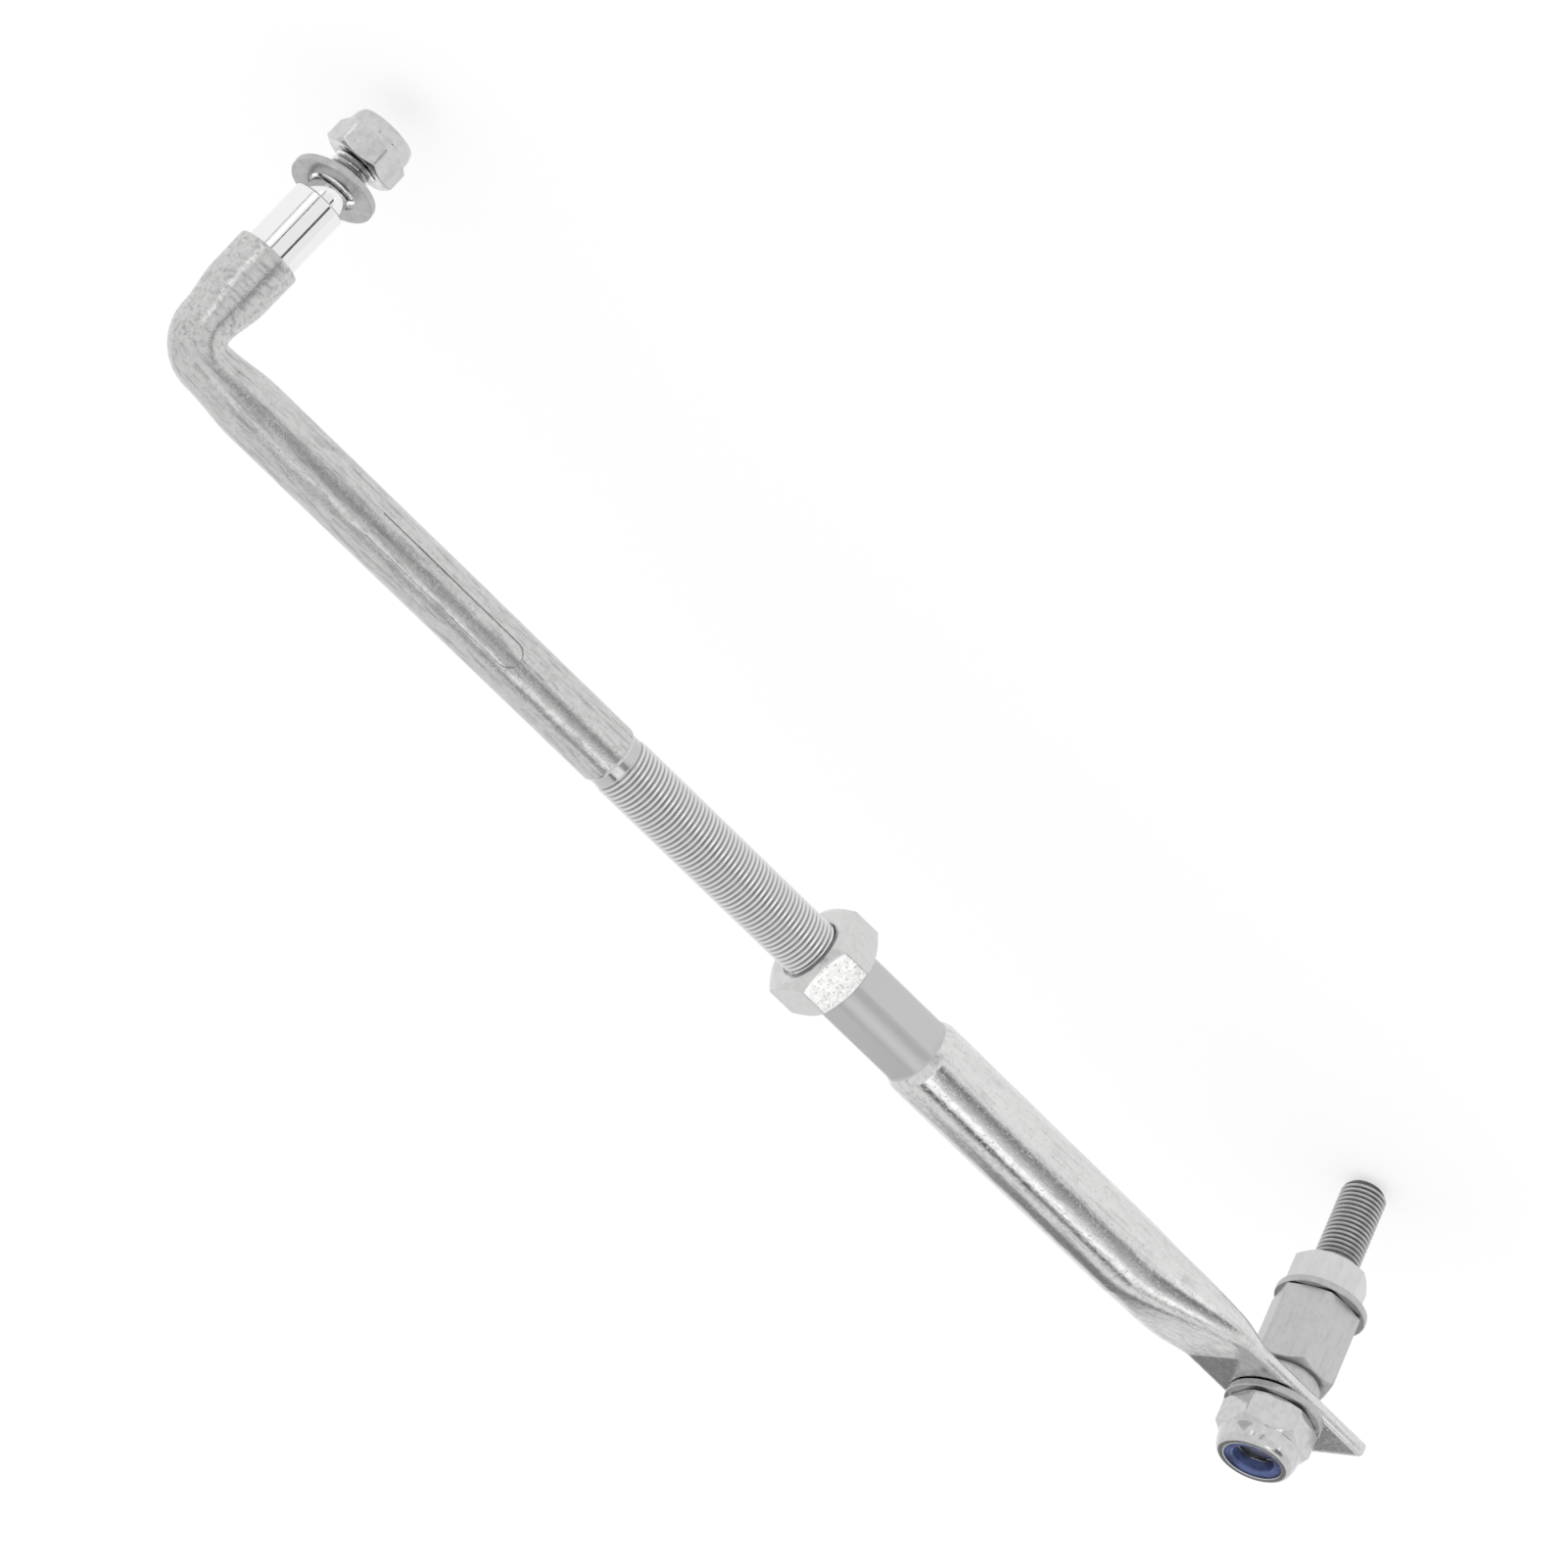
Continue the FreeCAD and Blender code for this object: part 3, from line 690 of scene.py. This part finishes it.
# ---- hook rod ----
@dataclass
class HookRod:
    """One bar: a long threaded leg, a squeezed bend and a hook leg with its spigot and small thread."""

    centre_length: float = 304.8
    bar_r: float = 6.0
    corner_angle: float = 88.0
    twist: float = -25.25
    thread_end: float = 209.8
    shoulder: float = 107.6
    runout_l: float = 2.6
    thread_r: float = 5.9
    spigot_r: float = 5.0
    mark: tuple[float, float, float, float] = (44.4, 81.4, 0.28, 62.0)
    in_plane: float = 5.04
    sideways: float = 6.21
    bend_r: float = 5.34
    blend_long: float = 17.0
    blend_short: float = 13.0
    sleeve_end: float = 21.22
    spigot_l: float = 12.7
    small_end: float = 47.6
    small_thread_r: float = 3.97

    def place(self) -> Matrix:
        """From the rod's own frame, corner at zero and long leg along +X, to the drawing."""
        return moved(-self.centre_length, 0, -LINK_DROP) @ turned(90.0 - self.twist, "X")

    def leg_frame(self, at: float) -> Matrix:
        """Puts a shape drawn up Z on the hook leg, at a distance from the corner."""
        return (self.place() @ turned(self.corner_angle - 90.0, "Z")
                @ Matrix.Rotation(-math.pi / 2, 4, "X") @ moved(0, 0, at))

    def bar(self) -> Mesh:
        """The plain bar from the long thread's run-out, round the bend, to the small thread's root."""
        half = math.radians(self.corner_angle / 2)
        tangent, arc = self.bend_r / math.tan(half), math.pi - 2 * half
        spigot_end = self.sleeve_end + self.spigot_l
        long_leg = [(self.runout_l + self.shoulder + 1.5, 5.2), (self.runout_l + self.shoulder, 5.55),
                    (self.shoulder + 0.85, 5.55), (self.shoulder + 0.3, 5.85), (self.shoulder, 6.0)]
        long_leg += [(d, 6.0) for d in steps(self.shoulder - 4, self.blend_long, 22)]
        blend_in = steps(self.blend_long, tangent, 12)[1:]
        bend = steps(0.0, arc, 30)[1:]
        blend_out = steps(tangent, self.blend_short, 9)[1:]
        hook = [(self.sleeve_end - 0.5, 6.2), (self.sleeve_end - 0.15, 6.08), (self.sleeve_end, 5.75),
                (self.sleeve_end, 5.12), (self.sleeve_end + 0.12, 5.0), (spigot_end - 0.45, 5.0),
                (spigot_end - 0.12, 4.9), (spigot_end, 4.6), (spigot_end, 3.95), (spigot_end + 0.25, 3.8),
                (spigot_end + 2.5, 3.8), (spigot_end + 2.9, 3.35)]
        rows: list[tuple[Vector, Vector, float, float]] = []
        x, y = Vector((1, 0, 0)), Vector((0, 1, 0))
        for d, r in long_leg:
            rows.append((x * d, y, r, r))
        for d in blend_in:
            k = smooth((self.blend_long - d) / (self.blend_long - tangent))
            rows.append((x * d, y, 6.0 + (self.in_plane - 6.0) * k, 6.0 + (self.sideways - 6.0) * k))
        middle = Vector((tangent, self.bend_r, 0))
        for a in bend:
            n = Vector((math.sin(a), math.cos(a), 0))
            rows.append((middle - n * self.bend_r, n, self.in_plane, self.sideways))
        u = Vector((math.cos(2 * half), math.sin(2 * half), 0))
        n = Vector((u.y, -u.x, 0))
        for e in blend_out:
            k = smooth((self.blend_short - e) / (self.blend_short - tangent))
            r = 6.0 + 0.2 * (e - tangent) / (self.sleeve_end - tangent)
            rows.append((u * e, n, r + (self.in_plane - r) * k, r + (self.sideways - r) * k))
        for e in steps(self.blend_short, self.sleeve_end - 0.5, 4)[1:-1]:
            r = 6.0 + 0.2 * (e - tangent) / (self.sleeve_end - tangent)
            rows.append((u * e, n, r, r))
        for e, r in hook:
            rows.append((u * e, n, r, r))
        outline = [(0.0, 0.0), *[(1.0, float(i + 1)) for i in range(len(rows))], (0.0, float(len(rows) + 1))]

        def warp(row: int, turn: float, co: Vector) -> Vector:
            """Carries each ring to its place on the bent line."""
            at, inward, a, c = rows[min(max(row - 1, 0), len(rows) - 1)]
            if row in (0, len(rows) + 1):
                return at.copy()
            return at + inward * (a * math.cos(turn)) + Vector((0, 0, c * math.sin(turn)))

        return spun(outline, 72, False, warp)

    def mark_cutter(self) -> list[Mesh]:
        """The pressed mark's shape, square at one end and round at the other, in the drawing."""
        start, end, depth, turn = self.mark
        half_w = 2.6
        block = bmesh.new()
        bmesh.ops.create_cube(block, size=1.0)
        block.transform(moved((start + end - half_w) / 2, 0, 0)
                        @ Matrix.Diagonal((end - start - half_w, 2 * half_w, 3.0, 1.0)))
        disc = bmesh.new()
        bmesh.ops.create_cone(disc, cap_ends=True, segments=48, radius1=half_w, radius2=half_w, depth=3.0)
        disc.transform(moved(end - half_w, 0, 0))
        to_bar = moved(-self.centre_length, 0, -LINK_DROP)
        onto_side = to_bar @ turned(-turn, "X") @ moved(0, 0, -self.bar_r)
        core = bmesh.new()
        bmesh.ops.create_cone(core, cap_ends=True, segments=96, radius1=self.bar_r - depth,
                              radius2=self.bar_r - depth, depth=2 * end)
        core.transform(to_bar @ ALONG_LINK)
        tools = []
        for tool in (block, disc):
            tool.transform(onto_side)
            tools.append(carved(tool, core.copy()))
        core.free()
        return tools

    def build(self, finish: bpy.types.Material) -> None:
        """Draws the rod and dresses it."""
        bar = self.bar()
        bar.transform(self.place())
        bar = carved(bar, *self.mark_cutter())
        first = self.shoulder + self.runout_l
        main = helix(self.thread_r, 1.0, 0.56, first - 0.9, self.thread_end)
        taper(main, lambda z: min(5.55 + max(0.0, z - first) * 0.25, self.thread_r,
                                  self.thread_r - 0.9 + (self.thread_end - z)))
        main.transform(self.place() @ Matrix.Rotation(math.pi / 2, 4, "Y"))
        root = self.sleeve_end + self.spigot_l + 2.3
        small = helix(self.small_thread_r, 1.25, 0.66, 0.0, self.small_end - root, 64)
        taper(small, lambda z: min(self.small_thread_r, 3.35 + z, 3.17 + (self.small_end - root - z)))
        small.transform(self.leg_frame(root))
        whole = merged(bar, main, small)
        Piece("hook_rod_bar", "rod", "hook_rod", Slot.BAR).finish_mesh(whole, finish, 62.0)


@dataclass
class HookHardware:
    """The loose washer and the lock nut with its ring on the hook leg."""

    rod: HookRod
    washer_at: float = 37.22
    tilt: float = 16.5
    lean: float = 102.0
    nut_at: float = 42.92
    nut_turn: float = -27.3

    def build(self, washer: bpy.types.Material, nut: bpy.types.Material, nylon: bpy.types.Material) -> None:
        """Draws the three pieces and dresses them."""
        disc = washer_mesh(8.0, 9.0, 1.5, 0.24)
        disc.transform(self.rod.leg_frame(self.washer_at) @ turned(self.lean + 90.0, "Z")
                       @ turned(self.tilt, "X") @ moved(0, 0, -0.75))
        Piece("hook_side_washer", "hook_washer", "hook_washer", Slot.WASHER).finish_mesh(disc, washer)
        body = LockNut(12.7, 8.1, 4.03, 4.9, 2.0, 5.1, 0.4, 1.25).mesh()
        body.transform(self.rod.leg_frame(self.nut_at) @ turned(self.nut_turn, "Z"))
        Piece("hook_lock_nut", "hook_nut", "hook_nut", Slot.LOCK_NUT).finish_mesh(body, nut)
        ring = ring_mesh(4.9, 6.9, 2.0)
        ring.transform(self.rod.leg_frame(self.nut_at + 8.1 - 0.4 - 2.0))
        Piece("hook_nylon_ring", "hook_nut", "hook_nut_insert", Slot.NYLON).finish_mesh(ring, nylon)


# ---- tube ----
@dataclass
class LinkTube:
    """The tube: a flatted and tapped neck, a round middle and a pressed, bored plate, with its jam nut."""

    mouth: float = 132.9
    neck_end: float = 111.4
    step_l: float = 2.2
    neck_r: float = 7.1
    flats: float = 13.35
    tube_r: float = 8.0
    wall: float = 1.55
    squeeze_at: float = 47.0
    flare_at: float = 25.0
    flare_w: float = 20.8
    plate_at: float = 16.0
    plate_t: float = 3.14
    plate_w: float = 18.1
    plate_end: float = 15.5
    slant: float = 0.3
    corner_r: float = 1.2
    bore: float = 5.96
    hole: float = 5.07
    jam_turn: float = -18.0

    def flatness(self, x: float) -> float:
        """How far the tube is flattened at a distance from the stud's axis."""
        u = max(0.0, min(1.0, (self.squeeze_at - x) / (self.squeeze_at - self.plate_at)))
        return 0.7 * u + 0.3 * smooth(u)

    def half_sizes(self, x: float) -> Point2:
        """Half height and half width of the outer wall at a distance from the stud's axis."""
        high = self.tube_r + (self.plate_t / 2 - self.tube_r) * self.flatness(x)
        if x >= self.flare_at:
            k = smooth((self.squeeze_at - x) / (self.squeeze_at - self.flare_at))
            return high, self.tube_r + (self.flare_w / 2 - self.tube_r) * k
        k = smooth((self.flare_at - x) / (self.flare_at - self.plate_at))
        return high, (self.flare_w + (self.plate_w - self.flare_w) * k) / 2

    @staticmethod
    def oval(share: float, high: float, wide: float) -> Point2:
        """A point on a round-ended section, by its share of the way round from +Y through +Z."""
        flat = max(wide - high, 0.0)
        quarter, girth = math.pi * high / 2, 2 * math.pi * high + 4 * flat
        d = (share % 1.0) * girth
        if d < quarter:
            return flat + high * math.cos(d / high), high * math.sin(d / high)
        if d < quarter + 2 * flat:
            return flat - (d - quarter), high
        if d < 3 * quarter + 2 * flat:
            a = (d - quarter - 2 * flat) / high
            return -flat - high * math.sin(a), high * math.cos(a)
        if d < 3 * quarter + 4 * flat:
            return -flat + (d - 3 * quarter - 2 * flat), -high
        a = (girth - d) / high
        return flat + high * math.cos(a), -high * math.sin(a)

    def neck_point(self, turn: float, r: float, flat: float) -> Point2:
        """A point on the neck's section, its ring points drawn to the flats' edges."""
        edge = math.degrees(math.acos(min(1.0, flat / r)))
        local = (math.degrees(turn) + 45.0) % 90.0 - 45.0
        size = abs(local)
        swept = size * edge / 18.75 if size <= 18.75 else edge + (size - 18.75) * (45.0 - edge) / 26.25
        angle = turn + math.radians(math.copysign(swept, local) - local)
        reach = min(r, flat / max(abs(math.cos(angle)), abs(math.sin(angle))))
        return reach * math.cos(angle), reach * math.sin(angle)

    def rows(self) -> list[tuple[str, float, float]]:
        """Every ring of the tube as (kind, distance from the stud's axis, inset from the outer wall)."""
        end = -self.plate_end
        rows = [("seam", end + 1.0, 0.0), ("seam", end, 0.0), ("end", end, 0.42), ("end", end + 0.12, 0.12),
                ("end", end + 0.42, 0.0)]
        rows += [("wall", x, 0.0) for x in steps(end + 1.4, self.plate_at, 16)]
        rows += [("wall", x, 0.0) for x in steps(self.plate_at, self.squeeze_at, 44)[1:]]
        neck = self.neck_end - self.step_l
        rows += [("wall", x, 0.0) for x in steps(self.squeeze_at, neck - 0.4, 12)[1:]]
        rows += [("round", neck, 7.97), ("round", neck + 0.5, 7.83), ("round", self.neck_end - 0.35, 7.24),
                 ("neck", self.neck_end, 0.0), ("neck", self.neck_end + 0.35, 0.0)]
        rows += [("neck", x, 0.0) for x in steps(self.neck_end + 2.0, self.mouth - 0.3, 8)]
        rows += [("neck", self.mouth, 0.3), ("round", self.mouth, self.bore + 0.4),
                 ("round", self.mouth - 0.4, self.bore)]
        rows += [("tap", x, self.bore) for x in steps(self.mouth - 0.6, self.mouth - 12.0, 68)]
        rows += [("round", self.mouth - 12.6, self.bore), ("round", neck - 3.0, self.bore),
                 ("inner", neck - 3.4, self.wall)]
        rows += [("inner", x, self.wall) for x in steps(neck - 8.0, self.squeeze_at, 8)]
        rows += [("inner", x, self.wall) for x in steps(self.squeeze_at, 18.6, 22)[1:]]
        return rows

    def mesh(self) -> Mesh:
        """The tube's mesh in the drawing, with the stud's hole cut through the plate."""
        rows = self.rows()
        outline = [(0.0, 0.0), *[(1.0, float(i + 1)) for i in range(len(rows))], (0.0, float(len(rows) + 1))]

        def warp(row: int, turn: float, co: Vector) -> Vector:
            """Carries each ring to its section."""
            kind, x, inset = rows[min(max(row - 1, 0), len(rows) - 1)]
            lean = self.slant * self.flatness(x)
            if row in (0, len(rows) + 1):
                return Vector((-x, 0, 0))
            if kind == "round" or kind == "tap":
                r = inset + (0.5 * thread_groove(turn, x, 1.0) if kind == "tap" else 0.0)
                return Vector((-x, r * math.cos(turn), r * math.sin(turn)))
            if kind == "neck":
                y, z = self.neck_point(turn, self.neck_r - inset, self.flats / 2 - inset)
                return Vector((-x, y, z))
            high, wide = self.half_sizes(x)
            if kind == "inner":
                y, z = self.oval(turn / (2 * math.pi), max(high - inset, 0.12), wide - inset)
                return Vector((-x - lean * y, y, z))
            if kind == "seam":
                y, z = self.oval(turn / (2 * math.pi), 0.07, wide - 1.3)
            else:
                y, z = self.oval(turn / (2 * math.pi), high - inset, wide - inset)
            over = abs(y) - (wide - self.corner_r)
            near_end = x + self.plate_end
            if kind != "inner" and over > 0 and near_end < 3.0:
                cut = self.corner_r - math.sqrt(max(0.0, self.corner_r ** 2 - min(over, self.corner_r) ** 2))
                x += cut * (1 - near_end / 3.0)
            return Vector((-x - lean * y, y, z))

        bm = spun(outline, 96, False, warp)
        drill = bmesh.new()
        bmesh.ops.create_cone(drill, cap_ends=True, segments=96, radius1=self.hole, radius2=self.hole,
                              depth=9.0)
        bm = carved(bm, drill)
        soften(bm, 0.12, 30.0, 180.0, 2, lambda p: -129.0 < p.x < -90.0 or p.x < -132.0)
        bm.transform(moved(0, 0, -LINK_DROP))
        return bm

    def build(self, finish: bpy.types.Material, nut: bpy.types.Material) -> None:
        """Draws the tube and the jam nut and dresses them."""
        Piece("drawn_link_tube", "tube", "link_tube", Slot.TUBE).finish_mesh(self.mesh(), finish, 40.0)
        jam = HexNut(19.0, 9.3, 5.96, 8.3, 8.3, 1.0, sink=0.9, edge=0.2).mesh()
        jam.transform(moved(-self.mouth - 0.02, 0, -LINK_DROP)
                      @ turned(self.jam_turn, "X") @ ALONG_LINK)
        Piece("tube_jam_nut", "jam_nut", "jam_nut", Slot.JAM_NUT).finish_mesh(jam, nut)


# ---- stud and its hardware ----
@dataclass
class PivotStud:
    """The stud: a hexagonal body, a grooved collar, a journal and a thread at each end."""

    thread_r: float = 4.76
    tip: float = 29.2
    across: float = 16.2
    hex_h: float = 17.0
    collar_r: float = 7.1
    groove_r: float = 6.5
    journal_r: float = 5.0
    low: float = 33.4
    low_thread_r: float = 4.93

    def body(self) -> Mesh:
        """The turned and hexagonal body between the threads."""
        flat = self.across / 2
        top, bottom = -LINK_DROP + HALF_PLATE, -LINK_DROP - HALF_PLATE
        hex_h, groove, collar, journal = self.hex_h, self.groove_r, self.collar_r, self.journal_r
        outline = [(0.0, 0.6), (4.0, 0.6), (4.3, 0.0), (flat - 0.1, 0.0), (flat, -0.3), (flat, 0.6 - hex_h),
                   (flat - 0.3, -hex_h), (groove + 0.1, -hex_h), (groove, -hex_h - 0.1),
                   (groove, -hex_h - 0.45), (collar - 0.15, -hex_h - 0.55), (collar, -hex_h - 0.75),
                   (collar, top + 0.45), (collar - 0.25, top + 0.2), (journal, top + 0.2),
                   (journal, bottom - 1.0), (4.35, bottom - 1.35), (0.0, bottom - 1.35)]

        def warp(row: int, turn: float, co: Vector) -> Vector:
            """Gives the body its six flats and turned corners."""
            reach = hex_reach(self.across, turn)
            r, z = math.hypot(co.x, co.y), co.z
            if row == 4:
                r, z = reach, -max(0.0, (reach - flat + 0.1) * TAN30 * 0.6)
            elif row == 5:
                r, z = reach, -self.hex_h + max(0.0, reach - flat + 0.3) * TAN30
            return Vector((r * math.cos(turn), r * math.sin(turn), z))

        return soften(spun(outline, 96, False, warp), 0.16, 24.0, 180.0, 2,
                      lambda p: math.hypot(p.x, p.y) > self.collar_r + 0.3)

    def build(self, finish: bpy.types.Material) -> None:
        """Draws the stud and dresses it."""
        upper = helix(self.thread_r, 1.058, 0.58, 0.02, self.tip, 64)
        taper(upper, lambda z: min(self.thread_r, 4.25 + max(0.0, z - 0.4) * 0.5,
                                   self.thread_r - 1.0 + (self.tip - z) * 0.85))
        start = -LINK_DROP - HALF_PLATE - 1.2
        lower = helix(self.low_thread_r, 1.25, 0.68, -self.low, start, 64)
        taper(lower, lambda z: min(self.low_thread_r, 4.3 + (start - z) * 0.6,
                                   self.low_thread_r - 0.85 + (z + self.low)))
        whole = merged(self.body(), upper, lower)
        Piece("pivot_stud_bar", "stud", "pivot_stud", Slot.STUD).finish_mesh(whole, finish, 62.0)


@dataclass
class TillerHardware:
    """The washer and plain nut on the stud's long thread."""

    offset: Point2 = (0.38, -0.31)
    turn: float = -23.9

    def build(self, washer: bpy.types.Material, nut: bpy.types.Material) -> None:
        """Draws both pieces and dresses them."""
        disc = washer_mesh(9.6, 11.12, 1.6, 0.28)
        disc.transform(moved(*self.offset, 0.02))
        Piece("tiller_flat_washer", "tiller_nut_set", "tiller_washer", Slot.WASHER).finish_mesh(disc, washer)
        body = HexNut(14.28, 8.2, 4.82, 5.94, 7.44, 1.058, edge=0.16).mesh()
        body.transform(moved(0, 0, 1.62) @ turned(self.turn, "Z"))
        Piece("tiller_hex_nut", "tiller_nut_set", "tiller_nut", Slot.PLAIN_NUT).finish_mesh(body, nut)


@dataclass
class PivotHardware:
    """The washer and lock nut, with its ring, that hold the plate on the journal."""

    under: float = -LINK_DROP - HALF_PLATE - PIVOT_PLAY - 1.6
    turn: float = 20.6

    def build(self, washer: bpy.types.Material, nut: bpy.types.Material, nylon: bpy.types.Material) -> None:
        """Draws the three pieces and dresses them."""
        disc = washer_mesh(10.1, 10.6, 1.6, 0.28)
        disc.transform(moved(0, 0, self.under))
        Piece("pivot_flat_washer", "stud", "pivot_washer", Slot.WASHER).finish_mesh(disc, washer)
        down = moved(0, 0, self.under) @ Matrix.Rotation(math.pi, 4, "X")
        body = LockNut(17.0, 11.1, 4.99, 6.4, 2.6, 6.9, 0.45, 1.25, edge=0.18).mesh()
        body.transform(down @ turned(-self.turn, "Z"))
        Piece("pivot_lock_nut", "stud", "pivot_nut", Slot.LOCK_NUT).finish_mesh(body, nut)
        ring = ring_mesh(6.4, 8.4, 2.6)
        ring.transform(down @ moved(0, 0, 11.1 - 0.45 - 2.6))
        Piece("pivot_nylon_ring", "stud", "pivot_nut_insert", Slot.NYLON).finish_mesh(ring, nylon)


# ---- studio ----
@dataclass
class Studio:
    """Floor, soft lights and camera."""

    eye: Point3 = (-0.518599, 0.640121, 0.457988)
    right: Point3 = (0.64920614, 0.64708106, -0.3997718)
    down: Point3 = (0.63927304, -0.1794002, 0.74776036)
    ahead: Point3 = (0.41214242, -0.74101395, -0.53012919)
    lens: float = 107.866
    floor_z: float = -0.0305
    middle: Point3 = (-0.15, 0.0, 0.0224)
    spigot: Point3 = (-0.3038, 0.0118, -0.0025)
    card_reach: float = 0.25
    surround: float = 0.93

    def camera(self) -> None:
        """Sets up the camera."""
        data = bpy.data.cameras.new("camera")
        data.lens, data.sensor_width, data.clip_start = self.lens, 36.0, 0.01
        obj = bpy.data.objects.new("camera", data)
        r, d, a = Vector(self.right), Vector(self.down), Vector(self.ahead)
        turn = Matrix((r, -d, -a)).transposed().to_4x4()
        obj.matrix_world = Matrix.Translation(self.eye) @ turn
        bpy.context.scene.collection.objects.link(obj)
        bpy.context.scene.camera = obj

    def sheet(self, name: str, size: Point2, place: Matrix, tone: float, glow: float, unseen: bool) -> None:
        """Adds one flat sheet to the stage.

        Args:
            name: the sheet's name.
            size: its half length and half width, in metres.
            place: where it is.
            tone: its grey.
            glow: the light it gives.
            unseen: only reflections show it.
        """
        bm = bmesh.new()
        bmesh.ops.create_grid(bm, x_segments=1, y_segments=1, size=1.0)
        bm.transform(place @ Matrix.Diagonal((*size, 1.0, 1.0)))
        material = bpy.data.materials.new(name)
        net = Net(material)
        for socket, value in (("Base Color", (tone, tone, tone, 1.0)), ("Roughness", 0.95),
                              ("Specular IOR Level", 0.0), ("Emission Color", (1.0, 1.0, 1.0, 1.0)),
                              ("Emission Strength", glow)):
            net.shader.inputs[socket].default_value = value
        obj = linked(name, bm)
        obj.data.materials.append(material)
        if unseen:
            obj.visible_camera = obj.visible_shadow = obj.visible_diffuse = False

    def band(self, name: str, low: float, high: float, glow: float, reach: Point2 = (-2.2, 2.2),
             distance: float = 1.3) -> None:
        """Hangs a sheet along the link, between two angles above the horizon on the camera's side.

        Args:
            name: the sheet's name.
            low: its lower edge, in degrees.
            high: its upper edge, in degrees.
            glow: the light it gives.
            reach: where it starts and ends along the link.
            distance: how far off it hangs.
        """
        angle, half = math.radians((low + high) / 2), math.radians((high - low) / 2)
        along = Vector((1, 0, 0))
        out = Vector((0, math.cos(angle), math.sin(angle)))
        turn = Matrix((along, out.cross(along), out)).transposed().to_4x4()
        centre = Vector(self.middle) + out * distance + along * (reach[0] + reach[1]) / 2
        size = ((reach[1] - reach[0]) / 2, distance * math.tan(half))
        self.sheet(name, size, Matrix.Translation(centre) @ turn, 0.0, glow, True)

    def card(self, name: str, out: Point3, size: Point2, glow: float) -> None:
        """Stands a small sheet near the hook.

        Args:
            name: the sheet's name.
            out: the way to it from the spigot.
            size: its half width and half height, in metres.
            glow: the light it gives.
        """
        way = Vector(out).normalized()
        side = Vector((0, 0, 1)).cross(way).normalized()
        turn = Matrix((side, way.cross(side), way)).transposed().to_4x4()
        centre = Vector(self.spigot) + way * self.card_reach
        self.sheet(name, size, Matrix.Translation(centre) @ turn, 0.0, glow, True)

    def build(self) -> None:
        """Sets the whole stage."""
        self.camera()
        self.sheet("pale_floor", (6.0, 6.0), moved(0, 0, self.floor_z), 0.42, 0.63, False)
        world = bpy.data.worlds.new("studio")
        bpy.context.scene.world = world
        world.use_nodes = True
        background = world.node_tree.nodes["Background"].inputs
        background[0].default_value, background[1].default_value = (1.0, 1.0, 1.0, 1.0), self.surround
        bpy.context.scene.view_settings.view_transform = "Standard"
        for name, low, high, glow in (("shade_low", 16.0, 29.0, 0.20), ("shade_middle", 29.0, 42.0, 0.36),
                                      ("shade_high", 42.0, 53.0, 0.56), ("window_edge", 53.0, 62.0, 0.88),
                                      ("window", 62.0, 79.0, 1.5), ("upper_shade", 82.0, 96.0, 0.06)):
            self.band(name, low, high, glow, (0.3, 1.0))
        self.band("bar_window", -8.0, 13.0, 1.55, (0.42, 0.57))
        self.card("spigot_line", (-0.49, 0.851, 0.185), (0.007, 0.07), 0.04)
        self.card("spigot_edge_line", (-0.88, 0.474, 0.03), (0.004, 0.06), 0.04)
        self.card("spigot_glow", (-0.72, 0.68, 0.16), (0.028, 0.07), 1.5)
        self.card("bend_shade", (0.40, 0.87, 0.26), (0.020, 0.07), 0.10)
        self.band("nut_glint", 40.0, 60.0, 1.7, (0.10, 0.15), 0.25)
        self.band("low_shade", 124.0, 164.0, 0.26, (0.19, 0.36), 0.25)


def main() -> None:
    """Builds the link arm's pieces in order, then the stage."""
    logging.basicConfig(level=logging.INFO, format="%(message)s")
    finishes = (BAR_FINISH_AND_PAINTED_ROOT_SHADE, TUBE_FINISH, STUD_FINISH_AND_PAINTED_ROOT_SHADE, POLISHED, JAM_FINISH, PLAIN_NUT, WASHER_FINISH,
                NYLON_FINISH)
    dress = {f.name: f.make() for f in finishes}
    rod = HookRod()
    rod.build(dress[BAR_FINISH_AND_PAINTED_ROOT_SHADE.name])
    HookHardware(rod).build(dress[WASHER_FINISH.name], dress[POLISHED.name], dress[NYLON_FINISH.name])
    LinkTube().build(dress[TUBE_FINISH.name], dress[JAM_FINISH.name])
    PivotStud().build(dress[STUD_FINISH_AND_PAINTED_ROOT_SHADE.name])
    TillerHardware().build(dress[WASHER_FINISH.name], dress[PLAIN_NUT.name])
    PivotHardware().build(dress[WASHER_FINISH.name], dress[POLISHED.name], dress[NYLON_FINISH.name])
    Studio().build()
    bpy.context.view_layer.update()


if __name__ == "__main__":
    main()
